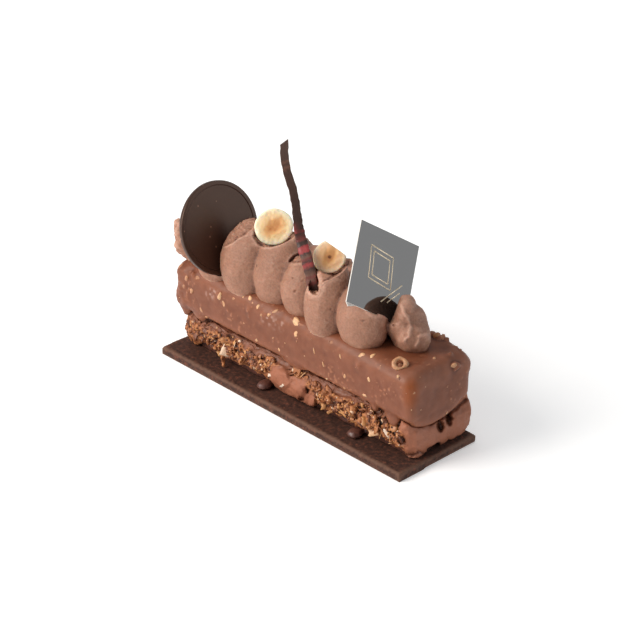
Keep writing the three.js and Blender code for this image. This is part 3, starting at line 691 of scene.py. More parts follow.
leafPlaces = [  # pixel, length and width in mm, turn in degrees, tone
    ((227, 359), 6.4, 2.6, 105, 0.45), ((224, 341), 3.6, 1.5, 145, 0.86), ((221, 353), 2.8, 1.9, 20, 0.88),
    ((239, 357), 3.4, 1.1, 120, 0.8), ((243, 361), 3, 1.2, 60, 0.72), ((249, 367), 4, 1.1, 155, 0.9),
    ((214, 336), 2.6, 1.3, 60, 0.8), ((206, 331), 2.4, 1.6, 150, 0.25), ((256, 372), 3.4, 1.3, 165, 0.8),
    ((270, 375), 1.5, 1.1, 0, 1.0), ((283, 385), 2.6, 0.8, 40, 1.0), ((387, 433), 3.4, 1.4, 130, 1.0),
    ((325, 404), 4.2, 1.3, 70, 0.85), ((331, 411), 3, 1.2, 30, 0.8), ((343, 413), 3.6, 1.4, 150, 0.86),
    ((355, 421), 3.2, 1.2, 165, 0.86), ((369, 424), 3, 1.1, 110, 0.7), ((322, 413), 2.8, 1.2, 20, 0.9),
]


def openShare(points):
    # 0 where glaze has run over the side, 1 where the crumb is open
    run = ramp(insideOutline(framePlaces(points), glazedRun), -1.5, 1.5)
    endCoat = ramp(points[:, 0], 57, 60.5)
    lip = crunch["top"] - crunch["lip"] + 1.5 * softNoise(points, 6, 7) + 1.1 * softNoise(points, 2.2, 8)
    lipCoat = ramp(points[:, 2], lip - 0.5, lip + 0.5)
    front = 1 - np.maximum(np.maximum(run, endCoat), lipCoat)
    back = np.clip(0.75 + 0.9 * softNoise(points, 14, 5), 0.25, 1) * (1 - np.maximum(endCoat, lipCoat))
    return np.where(points[:, 1] < cakeMiddleY, front, back)


def takeShape(piece, points):
    faces = [tuple(face.vertices) for face in piece.data.polygons]
    bpy.data.objects.remove(piece)
    return points, faces


def lumpShape(size, depth, seed):
    # a ball 1 mm across, with its surface pushed about
    bpy.ops.mesh.primitive_ico_sphere_add(subdivisions=2, radius=0.5 * mm)
    lump = bpy.context.object
    points = readPoints(lump)
    points *= (1 + depth * softNoise(points, size, seed))[:, None]
    return takeShape(lump, points)


def flakeShape(seed):
    bpy.ops.mesh.primitive_grid_add(x_subdivisions=4, y_subdivisions=3, size=mm)
    flake = bpy.context.object
    points = readPoints(flake)
    edge = np.max(np.abs(points[:, :2]), axis=1) > 0.4
    points[:, :2] *= (1 + 0.35 * edge * softNoise(points, 0.3, seed))[:, None]
    points[:, 2] += 0.3 * points[:, 0] ** 2 + 0.12 * softNoise(points, 0.4, seed + 9)
    writePoints(flake, points)
    applyModifier(flake, "SOLIDIFY", thickness=0.16 * mm, offset=0)
    return takeShape(flake, readPoints(flake))


def mergeShapes(name, copies):
    # one piece from many copies, each with its points, faces and tone
    faces = []
    start = 0
    for points, shapeFaces, tone in copies:
        faces.extend(tuple(i + start for i in face) for face in shapeFaces)
        start += len(points)
    piece = pieceFromMesh(name, np.concatenate([points for points, shapeFaces, tone in copies]), faces)
    markPoints(piece, "tone", np.concatenate([np.full(len(points), tone)
                                              for points, shapeFaces, tone in copies]))
    return piece


def layShapes(name, host, shapes, places, thickness, sink, liftTo=0.0):
    # one copy of a shape at each place: pixel, length and width in mm, turn in degrees, tone
    selectOnly(host)
    surface = host.evaluated_get(bpy.context.evaluated_depsgraph_get())
    copies = []
    for number, (pixel, length, width, turn, tone) in enumerate(places):
        met = castPixel(surface, pixel)
        if met is None:
            continue
        place, normal = met
        points, shapeFaces = shapes[number % len(shapes)]
        way = (normal.lerp(faceWay, liftTo)).normalized()
        across = (faceAcross - way * faceAcross.dot(way)).normalized()
        turned = turnTo(across, way) @ Matrix.Rotation(math.radians(turn), 3, "Z")
        placed = (points * np.array([length, width, thickness])) @ np.array(turned).T
        copies.append((placed + np.array(place) / mm - sink * np.array(way), shapeFaces, tone))
    return mergeShapes(name, copies)


def scatterShapes(name, host, shapes, count, sizes, weights, seed, sink, tilt=0.6):
    # copies of the shapes on the host's faces, more where the weights are high
    draw = np.random.default_rng(seed)
    faces = host.data.polygons
    centres = readAll(faces, "center", 3) / mm
    normals = readAll(faces, "normal", 3)
    chance = readAll(faces, "area", 1)[:, 0] * weights(centres, normals)
    picked = draw.choice(len(faces), size=count, replace=False, p=chance / chance.sum())
    copies = []
    for index in picked:
        points, shapeFaces = shapes[draw.integers(len(shapes))]
        size = sizes[0] + (sizes[1] - sizes[0]) * draw.random() ** 2
        lean = Vector(normals[index] + tilt * draw.normal(size=3)).normalized()
        turn = lean.to_track_quat("Z", "Y").to_matrix() @ Matrix.Rotation(6.28 * draw.random(), 3, "Z")
        stretch = np.array([1 + 0.7 * draw.random(), 1, 0.8 + 0.3 * draw.random()]) * size
        placed = (points * stretch) @ np.array(turn).T + centres[index] - sink * size * normals[index]
        copies.append((placed, shapeFaces, draw.random()))
    return mergeShapes(name, copies)


def digPit(piece):
    # a dark hollow with sharp edges at the foot of the glazed end
    surface = piece.evaluated_get(bpy.context.evaluated_depsgraph_get())
    centre = np.array(castPixel(surface, pit["pixel"])[0]) / mm
    bpy.ops.mesh.primitive_ico_sphere_add(subdivisions=3, radius=mm)
    ball = bpy.context.object
    points = readPoints(ball) * np.array(pit["half"])
    points *= (1 + 0.3 * softNoise(points, 1.7, 5))[:, None]
    writePoints(ball, points + centre)
    cutAway(piece, ball)
    return centre


def shapeCrunch():
    piece = copyOfNode("crunch_layer", "crunch_crumb")
    reskin(piece, crunch["voxel"], 3)
    points = readPoints(piece)
    points[:, 1] += crunch["endWider"] * ramp(points[:, 0], 50, 60) * ramp(points[:, 1], 8, 18)
    writePoints(piece, points)
    pitAt = digPit(piece)
    points = readPoints(piece)
    side = ramp(np.abs(points[:, 1] - 4.2), 8, 12) + ramp(np.abs(points[:, 0]), 50, 56)
    opened = openShare(points) * np.clip(side, 0, 1)
    roughen(piece, "CLOUDS", crunch["lump"], crunch["lumpDepth"], opened * ramp(points[:, 2], 7, 11))
    roughen(piece, "CLOUDS", crunch["coatLump"], crunch["coatLumpDepth"], 1 - opened)
    under = ramp(points[:, 2], 13.5, 17)
    under = under * (1 - ramp(points[:, 0], 54, 58)) * (1 - ramp(-points[:, 0], 54, 60))
    pushOut(piece, -crunch["setBack"] * under)  # set back under the bar's lip
    moveSpots(piece, swells, 1)
    wetAndShade = moveSpots(piece, hollows, -1)
    fold = raiseAlong(piece, foldLine, -1.8, 2.6, 0.8)
    ragged = raiseAlong(piece, bottomLine, -1.2, 2.5, 1.5)
    roughen(piece, "VORONOI", crunch["crag"], crunch["cragDepth"], opened)
    roughen(piece, "CLOUDS", crunch["crumb"], crunch["crumbDepth"], 0.15 + 0.85 * opened)
    markRelief(piece, "relief", 10, 0.6)
    markPoints(piece, "coated", 1 - opened)
    fromPit = np.linalg.norm((readPoints(piece) - pitAt) / np.array(pit["half"]), axis=1)
    inPit = 1 - ramp(fromPit, 1.05, 1.35)
    # dark glossy patches in the hollows, the pit and the ragged foot, and painted shade in the fold and under
    # the bar's lip
    wetAndShade = np.maximum.reduce([wetAndShade, 0.5 * fold, 0.6 * ragged, 0.45 * under * (1 - opened), inPit])
    markPoints(piece, "wetAndShade", 0.9 * wetAndShade)
    finishPiece(piece, waferCrunch(), "crunch", "crunch_layer")
    return piece


def onOpenSide(centres, normals):
    # how likely a loose crumb is: on the open sides, and not underneath or under the lip
    facing = ramp(-normals[:, 2], -0.9, -0.3) * (centres[:, 2] < 18.6) * (np.abs(centres[:, 1] - 4) > 11)
    facing *= ramp(centres[:, 2], 7.4, 9)
    return facing * openShare(centres) ** 2 + 1e-9


def addCrumbs(host):
    crumbs = [lumpShape(0.42, 0.45, seed) for seed in range(6)]
    flakes = [flakeShape(seed) for seed in range(8)]
    made = [
        scatterShapes("crunch_crumbs", host, crumbs, crunch["crumbs"], (0.4, 1.5), onOpenSide,
                      crunch["seed"], sink=0.1),
        scatterShapes("crunch_flakes", host, flakes, crunch["flakes"], (1.2, 3.2), onOpenSide,
                      crunch["seed"] + 1, sink=-0.05, tilt=1.1),
        layShapes("crunch_leaves", host, flakes, leafPlaces, 1.6, -0.1, liftTo=0.6),
    ]
    bits = crunchBits()
    for piece in made:
        finishPiece(piece, bits, "crunch")


addCrumbs(shapeCrunch())

# glazed mousse bar

# the centre and half sizes near the front right edge place an orange painted highlight on the glaze
glaze = {"voxel": 0.45, "wave": 9, "waveDepth": 0.5, "bump": 3.2, "bumpDepth": 0.25, "top": 39,
         "farTop": 0.9, "farFoot": 2.4, "knob": 1.3, "edgeHighlightAt": (63, -12.6, 33), "edgeHighlightHalf": (4.5, 4.5, 8),
         "bloomAt": [(211, 293), (268, 319), (279, 325)], "bloomRadius": 9, "smallNuts": 70, "seed": 83}
knobs = [  # nuts under the glaze along the far edge: centre and half sizes in the photo's pixels
    ((433, 333), (4, 4)), ((439, 336), (5, 4)), ((447, 339), (4, 3)), ((461, 346), (4, 4)),
    ((456, 366), (4, 4)),
]
nutPlaces = [  # nut that shows through the glaze: pixel, length and width in mm, turn in degrees, tone
    ((180, 266), 3, 2, 20, 0.5), ((186, 278.5), 3.2, 2, 70, 0.55), ((197, 278.5), 2.4, 1.8, 0, 0.5),
    ((191.5, 290), 3, 1.6, 60, 0.6), ((184, 287), 2.4, 1.6, 90, 0.5), ((219, 297), 4.2, 2.2, 70, 0.85),
    ((223.5, 304), 3.4, 1.5, 110, 0.7), ((201, 310), 3, 1.4, 120, 0.6), ((206.5, 317), 2.6, 1.4, 60, 0.6),
    ((233.5, 299), 1.6, 1.2, 20, 0.6), ((250, 298.5), 2.4, 2, 20, 0.95), ((258, 307), 2.2, 1.8, 50, 0.85),
    ((268.5, 314.5), 2, 1.6, 0, 0.8), ((275.5, 311), 3.2, 1.3, 10, 0.65), ((261, 315), 1.6, 1.2, 60, 0.6),
    ((256.5, 340), 2, 1.5, 50, 0.7), ((235.5, 341), 1.6, 1.1, 90, 0.6), ((296, 321.5), 5.4, 2.4, 115, 0.95),
    ((296, 334), 2.6, 2, 60, 0.9), ((273, 338), 1.5, 1.1, 40, 0.6), ((279, 350), 2, 0.9, 110, 0.9),
    ((314, 351), 3.4, 0.7, 110, 0.75), ((323, 364), 3, 0.8, 115, 0.75), ((331.5, 343), 1.9, 1.6, 0, 0.3),
    ((340, 356), 2.4, 0.9, 110, 0.7), ((361.5, 355.5), 3, 2.2, 0, 0.85), ((372, 355.5), 2.6, 2, 20, 0.9),
    ((344.5, 376), 2.2, 1.5, 80, 0.7), ((368.5, 379.5), 2.4, 1.5, 110, 0.95), ((344.5, 388), 1.4, 1, 0, 0.6),
    ((364.5, 396), 2.8, 1.4, 10, 0.85), ((398, 376), 1.6, 1.2, 40, 0.8), ((447, 413), 1.5, 1.1, 60, 0.85),
    ((434, 358), 2.2, 1.6, 60, 0.6), ((454, 366), 2.6, 1.6, 20, 0.65), ((401, 364), 2.4, 2, 0, 0.15),
    ((436, 335), 3.2, 2, 20, 0.6), ((443, 338), 2.6, 2, 80, 0.5), ((461, 347), 2.6, 1.8, 40, 0.5),
    ((421, 410), 1, 0.8, 0, 0.6), ((285, 343), 1, 0.8, 0, 0.6),
]
nutRing = {"pixel": (400, 364), "radius": 2.1, "tube": 0.7, "tone": 0.62}  # a curled slice, half sunk


def makeBar():
    piece = copyOfNode("glazed_bar", "glaze_coat")
    reskin(piece, glaze["voxel"], 24)
    roughen(piece, "CLOUDS", glaze["wave"], glaze["waveDepth"])
    side = 1 - ramp(readPoints(piece)[:, 2], 36, 39) * 0.6
    roughen(piece, "CLOUDS", glaze["bump"], glaze["bumpDepth"], side)
    applyModifier(piece, "SMOOTH", factor=0.5, iterations=4)
    points = readPoints(piece)
    low = ramp(36 - points[:, 2], 0, 9)
    farEnd = ramp(points[:, 1], 8, 18) * ramp(points[:, 0], 40, 58)
    points[:, 1] += farEnd * (glaze["farTop"] - glaze["farFoot"] * low)  # proud at its top, drawn in below
    writePoints(piece, points)
    raised = [spotShare(piece, centre, half, 2.5, number) for number, (centre, half) in enumerate(knobs)]
    pushOut(piece, glaze["knob"] * np.maximum.reduce(raised))
    farEdge = ramp(points[:, 1], 14, 18) * ramp(points[:, 0], 30, 40) * ramp(points[:, 2], 30, 37)
    roughen(piece, "CLOUDS", 5, 1.6, farEdge)  # lumps along the far edge
    roughen(piece, "CLOUDS", 5, 1.9, 1 - ramp(points[:, 0], -62, -52))  # folds at the left end
    clusters = ramp(softNoise(points, 8, 21), -0.2, 0.6)
    nuts = ramp(softNoise(points, 1.1, 22) + 0.3 * softNoise(points, 0.6, 23), 0.4, 0.9) * clusters
    pushOut(piece, 0.2 * nuts)
    leftEnd = 1 - ramp(points[:, 0], -62, -54)  # its folds are deeper, but no darker
    # the relief mark paints shade in hollows and folds and highlight on ridges; at the left end it stays near
    # the middle
    markRelief(piece, "relief", 14, 0.22, 0.8 * leftEnd)
    # painted highlight: an orange glow on the bar's front right edge
    away = (points - np.array(glaze["edgeHighlightAt"])) / np.array(glaze["edgeHighlightHalf"])
    edgeHighlightShare = np.clip(1 - np.linalg.norm(away, axis=1), 0, 1)
    markPoints(piece, "edgeHighlight", np.clip(edgeHighlightShare * 1.3, 0, 0.75))
    places, facing = photoSide(piece)
    milky = sum(1 - ramp(np.linalg.norm((places - np.array(spot)) / glaze["bloomRadius"], axis=1), 0.2, 1)
                for spot in glaze["bloomAt"])
    markPoints(piece, "bloom", milky * facing * ramp(softNoise(points, 1.1, 31), -0.1, 0.6))
    markPoints(piece, "nut", 0.7 * nuts)
    finishPiece(piece, milkChocolateGlaze(), "milk_chocolate_glaze", "glazed_bar")
    return piece


def ringShape():
    bpy.ops.mesh.primitive_torus_add(major_segments=22, minor_segments=8, minor_radius=nutRing["tube"] * mm,
                                     major_radius=nutRing["radius"] * mm)
    ring = bpy.context.object
    points = readPoints(ring)
    points *= (1 + 0.2 * softNoise(points, 1.5, 3))[:, None]
    return takeShape(ring, points)


def onSides(centres, normals):
    # how likely a small nut is: on the bar's sides, and seldom on its top
    return (centres[:, 2] > 21) * ramp(-normals[:, 2], -0.97, -0.7) + 0.04 + 1e-9


def addNuts(host):
    shapes = [lumpShape(0.45, 0.5, seed + 40) for seed in range(7)]
    ringPlace = (nutRing["pixel"], 1, 1, 0, nutRing["tone"])
    made = [
        layShapes("nut_bits_front", host, shapes, nutPlaces, 1.0, 0.28),
        layShapes("nut_ring", host, [ringShape()], [ringPlace], 1, -0.1, liftTo=0.6),
        scatterShapes("nut_bits_small", host, shapes, glaze["smallNuts"], (0.5, 1.3), onSides,
                      glaze["seed"], sink=0.35, tilt=0.3),
    ]
    nut = choppedHazelnut()
    for piece in made:
        finishPiece(piece, nut, "hazelnut")


addNuts(makeBar())

# piped cream

cream = {"voxel": 0.46, "bottom": 36.6, "boxy": 0.74, "reach": 1.9, "rib": 1.15, "ribDepth": 0.03}
# boxy below 1 fills the dollops out, and reach is how far a notch goes past its lip and ridge
frontLobes = [  # middle, half sizes, lean of the crown
    ((-31.6, -6.2, 47.3), (10.6, 7.9, 15.4), (-1, 7.5)),
    ((-16.5, -3.2, 47.3), (10.6, 8.4, 14.8), (-1, 6)),
    ((-2.2, -3.5, 47), (8.8, 8, 12.6), (0, 4.5)),
    ((13, -6.2, 47), (8.8, 8.2, 14.6), (-1.8, 6.6)),
    ((29.4, -4.3, 47), (11, 7.8, 12.4), (-1.5, 6)),
]
endLobes = [  # the last dollop, in front of the card
    ((42.8, 5.8, 46.2), (7.6, 7.8, 11.8), (-1.6, -1.4)), ((46, 4.4, 44.2), (6.8, 7.2, 7.4), (-1, 0)),
]
backLobes = [
    ((-38, 11, 46), (9.6, 7.6, 11.5), (0, -2)), ((-22, 11.2, 46), (9.6, 7.6, 11.5), (0, -2)),
    ((-7, 11, 46), (9.2, 7.6, 11.5), (0, -2)), ((9, 10.8, 46), (9.8, 7.8, 12), (0, -2)),
    ((25, 11, 45.5), (9.8, 7.6, 10.5), (0, -2)), ((35, 9.4, 43), (7.4, 6.4, 7.4), (0, 0)),
]
startLobes = [
    ((-60.5, -3, 45), (8.2, 8.2, 8.4), (-1, 2)), ((-46.5, -6.4, 46), (10, 7.6, 12.5), (-4, 4)),
    ((-62.8, -8.6, 46.8), (4.2, 3.8, 7.6), (-3.4, -0.8)),
    ((-53, 10, 45.5), (9.6, 8, 9.6), (-1, -2)),
]
notches = [  # on the back row: tip on the face, near lip, far ridge, depth
    ((-44, 17.4, 51.5), (-36, 12, 58.5), (-32, 6, 60), 1.6),
    ((-28, 17.6, 51.5), (-20, 12, 58.5), (-16, 6, 60), 1.6),
    ((2.5, 17, 51.5), (11, 12, 59), (14, 6, 60), 1.6),
]
tears = [  # on the front row, in the photo's pixels: the pale lip, the rest of the outline, depth in mm
    ([(219, 249), (224, 247.5), (229, 245), (234, 242.5), (238, 239), (243, 237), (247, 234.5), (254, 228)],
     [(262, 208), (240, 208), (226, 226), (216, 240)], 1.1),
    ([(256, 243.5), (259, 246), (263, 247.5), (270, 248), (276, 246.5), (282, 244), (288, 242), (293, 239),
      (297, 235)], [(300, 222), (280, 200), (256, 212), (253, 236)], 1.6),
    ([(310, 292), (313, 295.5), (317, 296), (320, 292.5), (319.5, 286), (324, 283), (330, 280), (338, 275.5),
      (344, 271), (348.5, 266), (351, 259)], [(352, 240), (330, 236), (316, 252), (309, 275)], 1.8),
    ([(288, 263), (289.5, 259), (293, 255), (297, 253), (303, 251.5)], [(305, 262), (297, 263.5)], 1.5),
    ([(309, 288), (311, 293), (315.5, 294.5), (318, 291)], [(317, 286)], 3.5),
]
# the ridges are raised, and the relief mark paints them pale as painted highlight
ridges = [[(399, 303), (404, 311), (408.5, 318), (410.5, 327), (408, 337), (404, 341)],
          [(416, 346), (419, 338), (427, 334)]]  # soft pale ridges on the last dollop
lastOutline = [(400, 295), (410, 294), (415, 298), (417, 304), (422, 307), (426, 314), (428, 325), (432, 335),
               (432, 344), (428, 350), (420, 352), (410, 351), (399, 347), (393, 341), (386, 331), (386, 325),
               (391, 321), (395, 309), (399, 301)]  # of the last dollop, in the photo's pixels
lastMiddle = (409, 323)
stickBed = {"outline": [(303, 256), (312, 256), (316, 268), (319, 280), (319, 292), (309, 291), (306, 276),
                        (302, 264)],
            "above": 33.4, "fall": 0.06, "from": 258}  # how far forward cream may stand at the stick's foot
airHoles = [  # centre and half sizes in the photo's pixels, depth in mm
    ((257, 266), (0.9, 1.6), 0.6), ((293, 278), (1.2, 1), 0.45), ((295, 291), (1.8, 1.4), 0.5),
    ((289, 299), (1.1, 1.3), 0.45), ((331, 309), (1.2, 0.9), 0.4), ((340, 278), (1, 0.8), 0.4),
    ((364, 321), (2.4, 1.2), 0.4), ((394, 325), (1.6, 1.4), 0.8), ((280, 262), (0.8, 0.7), 0.25),
    ((247, 262), (0.8, 0.8), 0.25), ((327, 320), (0.9, 0.8), 0.25), ((409, 343), (1.2, 0.8), 0.3),
    ((239, 262), (0.7, 0.7), 0.2), ((269, 290), (0.7, 0.8), 0.2), ((303, 281), (2, 0.9), 0.3),
    ((400, 331), (1, 1.2), 0.3), ((421, 322), (1.2, 0.8), 0.3), ((350, 330), (0.8, 0.8), 0.2),
]
hazelnuts = [
    {"node": "hazelnut_half_1", "name": "hazelnut_left", "at": (-24, 2, 62.7), "radius": 7.15,
     "depth": 5.6, "voxel": 0.2, "heart": 35, "rim": "#fff0d2", "flesh": "#fbdcaa"},
    # painted light: the right nut's warmer rim and flesh colours make up for the stick's shadow on it
    {"node": "hazelnut_half_2", "name": "hazelnut_right", "at": (6.1, 2, 61.4), "radius": 6.2,
     "depth": 5, "voxel": 0.2, "heart": 60, "trim": 0.62, "trimTurn": -0.62, "core": 0.17,
     "rim": "#ffe0c0", "flesh": "#ffcfa0"},
]
card = {"side": 31, "thickness": 0.5, "centre": (30.7, 5, 62.7), "turn": 5.3, "lean": 22.6, "roll": 6.4,
        "edge": 0.06}
disc = {"radius": 18.04, "thickness": 1.7, "centre": (-45.5, -5.7, 57.2), "turn": -1.6, "lean": 20.3,
        "groove": 1.6, "grooveSlope": 0.3, "grooveDepth": 0.22, "edge": 0.18, "sides": 128}


def discPlace():
    turn = Matrix.Rotation(math.radians(disc["turn"]), 4, "Z")
    lean = Matrix.Rotation(math.radians(90 - disc["lean"]), 4, "Y")
    return Matrix.Translation(Vector(disc["centre"]) * mm) @ turn @ lean


def discBlock(low, high):
    # the disc widened, and lengthened along its axis from low to high
    bpy.ops.mesh.primitive_cylinder_add(vertices=64, radius=(disc["radius"] + 0.25) * mm,
                                        depth=(high - low) * mm, location=(0, 0, (high + low) / 2 * mm))
    block = bpy.context.object
    bpy.ops.object.transform_apply(location=True, rotation=True, scale=True)
    block.data.transform(discPlace())
    return block


def cardPlace(spin):
    # the card's plane faces the right-hand end, and a spin of 45 degrees stands it on a corner
    lean = math.radians(card["lean"])
    out = Vector((math.cos(lean), 0, math.sin(lean)))
    return (Matrix.Translation(Vector(card["centre"]) * mm)
            @ Matrix.Rotation(math.radians(card["turn"]), 4, "Z")
            @ turnTo(Vector((0, 1, 0)), out).to_4x4()
            @ Matrix.Rotation(math.radians(spin + card["roll"]), 4, "Z"))


def cardBlock(low, high, grow):
    # the card widened, and thickened from low to high
    bpy.ops.mesh.primitive_cube_add(size=mm)
    block = bpy.context.object
    side = card["side"] + 2 * grow
    block.data.transform(Matrix.Diagonal((side, side, high - low, 1)))
    block.data.transform(Matrix.Translation((0, 0, (high + low) / 2 * mm)))
    block.data.transform(cardPlace(45))
    return block


def nutView(nut):
    # the space between a nut's face and the camera
    bpy.ops.mesh.primitive_cylinder_add(vertices=48, radius=(nut["radius"] + 0.2) * mm, depth=20 * mm)
    block = bpy.context.object
    turn = turnTo(faceAcross, faceWay).to_4x4()
    block.data.transform(Matrix.Translation((Vector(nut["at"]) + 9.6 * faceWay) * mm) @ turn)
    return block


def pipeLobe(middle, half, lean):
    bpy.ops.mesh.primitive_uv_sphere_add(segments=64, ring_count=40, radius=mm)
    lobe = bpy.context.object
    points = readPoints(lobe)
    rise = np.clip(points[:, 2], 0, None) ** 2
    spread = np.maximum(np.hypot(points[:, 0], points[:, 1]), 1e-6) ** (cream["boxy"] - 1)
    points[:, 0] = middle[0] + half[0] * points[:, 0] * spread + lean[0] * rise
    points[:, 1] = middle[1] + half[1] * points[:, 1] * spread + lean[1] * rise
    points[:, 2] = middle[2] + half[2] * points[:, 2]
    writePoints(lobe, points)
    return lobe


def pipeRow(name, lobes):
    row = joinPieces(name, [pipeLobe(*lobe) for lobe in lobes])
    reskin(row, cream["voxel"])
    return row


def fitOutline(piece, middle, outline):
    # a dollop is widened or narrowed about its middle until the frame shows it with the outline
    sectors = 40
    points = readPoints(piece)
    away = framePlaces(points) - np.array(middle)
    angle = np.arctan2(away[:, 1], away[:, 0])
    sector = ((angle / math.pi + 1) / 2 * sectors).astype(int) % sectors
    shown = points[:, 2] > glaze["top"] + 0.8
    edge = np.zeros(sectors)
    np.maximum.at(edge, sector[shown], np.linalg.norm(away[shown], axis=1))
    corners = np.array(list(outline) + [outline[0]], dtype=float) - np.array(middle)
    steps = np.linspace(0, 1, 12)[:, None]
    line = np.concatenate([a + steps * (b - a) for a, b in zip(corners, corners[1:])])
    lineAngle = np.arctan2(line[:, 1], line[:, 0])
    order = np.argsort(lineAngle)
    centres = ((np.arange(sectors) + 0.5) / sectors * 2 - 1) * math.pi
    wanted = np.interp(centres, lineAngle[order], np.linalg.norm(line, axis=1)[order], period=2 * math.pi)
    share = np.interp(angle, centres, wanted / np.maximum(edge, 1), period=2 * math.pi) - 1
    moved = away * share[:, None] / view["pixelsPerMm"]
    writePoints(piece, points + moved[:, :1] * np.array(faceAcross) - moved[:, 1:] * frameUp)


def notchPoints(tip, near, far, depth):
    tip, near, far = Vector(tip), Vector(near), Vector(far)
    lip = tip + cream["reach"] * (near - tip)
    ridge = tip + cream["reach"] * (far - tip)
    normal = (lip - tip).cross(ridge - tip).normalized()
    if normal.z < 0:
        normal = -normal
    valley = lip.lerp(ridge, 0.5) - normal * depth * cream["reach"]
    return tip, lip, ridge, valley


def notchWedge(notch):
    tip, lip, ridge, valley = notchPoints(*notch)
    lifted = [point + Vector((0, 0, 40)) for point in (tip, lip, ridge)]
    wedge = pieceFromMesh("wedge", [tip, lip, ridge, valley, *lifted], [])
    inEditMode(wedge, (bpy.ops.mesh.convex_hull, {}), (bpy.ops.mesh.normals_make_consistent, {}))
    return wedge


def tornShare(points):
    # 1 on the faces that the nozzle tears in the back row
    torn = np.zeros(len(points))
    for notch in notches:
        tip, lip, ridge, valley = (np.array(p) for p in notchPoints(*notch))
        for a, b, c in ((tip, lip, valley), (tip, valley, ridge)):
            normal = np.cross(b - a, c - a)
            normal /= np.linalg.norm(normal)
            near = np.abs((points - a) @ normal) < 0.6
            around = np.linalg.norm(points - (tip + lip + ridge) / 3, axis=1) < 14
            torn = np.maximum(torn, near & around)
    return torn


def clearCard(piece):
    # the fifth dollop stays behind the card's lower edge, as seen by the camera
    points = readPoints(piece)
    place = cardPlace(45)
    half = card["side"] / 2 * mm
    flat = ((-half, -half), (half, -half), (half, half), (-half, half))
    corners = [place @ Vector((x, y, 0)) for x, y in flat]
    outline = [tuple(spot) for spot in framePlaces(np.array(corners) / mm)]
    out = np.array(place.to_3x3() @ Vector((0, 0, 1)))
    ahead = ((points - np.array(card["centre"])) @ out + 0.8) / (cameraWay @ out)
    here = ramp(insideOutline(framePlaces(points), outline), -0.4, 0.7)
    here *= (1 - ramp(points[:, 0] + 0.35 * points[:, 1], 36, 37)) * ramp(points[:, 0], 20, 24)
    writePoints(piece, points - (here * np.clip(ahead, 0, None))[:, None] * cameraWay)


def tearFront(piece):
    # the faces that the nozzle tears in the front row, and their thin raised lips, which the relief mark
    # paints pale as painted highlight
    torn = np.zeros(len(piece.data.vertices))
    for number, (lip, rest, depth) in enumerate(tears):
        share = sinkInside(piece, lip + rest, depth, 1.4, 0.6, 3 * number)
        torn = np.maximum(torn, share)
        raiseAlong(piece, lip, 0.35, 1.2, 0.6, 3 * number)
    for line in ridges:
        raiseAlong(piece, line, 0.6, 3.5, 1.2)
    return torn


def bedStick(piece):
    # the cream in front of the stick's foot goes back, so that the foot shows in its hole
    places, facing = photoSide(piece, 0.5, 9)
    points = readPoints(piece)
    floorOf = stickBed["above"] - stickBed["fall"] * (places[:, 1] - stickBed["from"])
    over = np.clip(points @ cameraWay - floorOf, 0, None)
    here = ramp(insideOutline(places, stickBed["outline"]), 0, 1.2) * facing
    writePoints(piece, points - (here * over)[:, None] * cameraWay)
    return here * (over > 0.3)


def pipeCream():
    start = pipeRow("start", startLobes)
    cutAway(start, discBlock(0, 30))
    wave = pipeRow("wave", frontLobes + backLobes)
    cutAway(wave, discBlock(-30, 0))
    cutAway(wave, cardBlock(0, 30, 0.1))
    for notch in notches:
        cutAway(wave, notchWedge(notch))
    for nut in hazelnuts:
        cutAway(wave, nutView(nut))
    end = pipeRow("end", endLobes)
    fitOutline(end, lastMiddle, lastOutline)
    growOn(wave, end)
    piece = joinPieces("piped_swirls", [start, wave])
    cutAway(piece, discBlock(-1.9, 0.1))
    inEditMode(piece, (bpy.ops.mesh.bisect, {
        "plane_co": (0, 0, cream["bottom"] * mm), "plane_no": (0, 0, 1), "use_fill": True,
        "clear_inner": True}))
    reskin(piece, cream["voxel"], 3)
    return piece


def finishCream(piece):
    points = readPoints(piece)
    last = ramp(points[:, 0] + 0.35 * points[:, 1], 37, 40)
    peak = (1 - ramp(points[:, 0], -64, -60)) * ramp(-points[:, 1], 3, 5)  # the ragged start at the left
    roughen(piece, "CLOUDS", 6, 0.6)
    roughen(piece, "CLOUDS", 9, 1.2, last)
    # painted shade between the dollops and at their foot: the material darkens the cream where this mark is
    # low
    markRelief(piece, "valley", 70, 2.4)
    torn = np.maximum.reduce([tornShare(points), tearFront(piece), bedStick(piece), 0.45 * peak])
    clearCard(piece)
    for size, depth, share in ((3, 2, peak), (1.6, 0.7, torn), (0.8, 0.65, torn), (1.5, 0.12, None)):
        roughen(piece, "CLOUDS", size, depth, share)
    rib = np.sin(2 * np.pi * (points[:, 2] + 0.8 * softNoise(points, 5, 4)) / cream["rib"])
    belly = ramp(points[:, 2], 40, 44) * (1 - torn) * (0.5 + 0.5 * softNoise(points, 9, 12))
    pushOut(piece, cream["ribDepth"] * rib * belly)
    moveSpots(piece, airHoles, -1, 0.3)
    # the relief mark paints highlight on ridges and lips and shade in hollows and tears
    markRelief(piece, "relief", 16, 0.5)
    finishPiece(piece, whippedGanache(), "whipped_cream", "piped_cream")


finishCream(pipeCream())

# chocolate disc


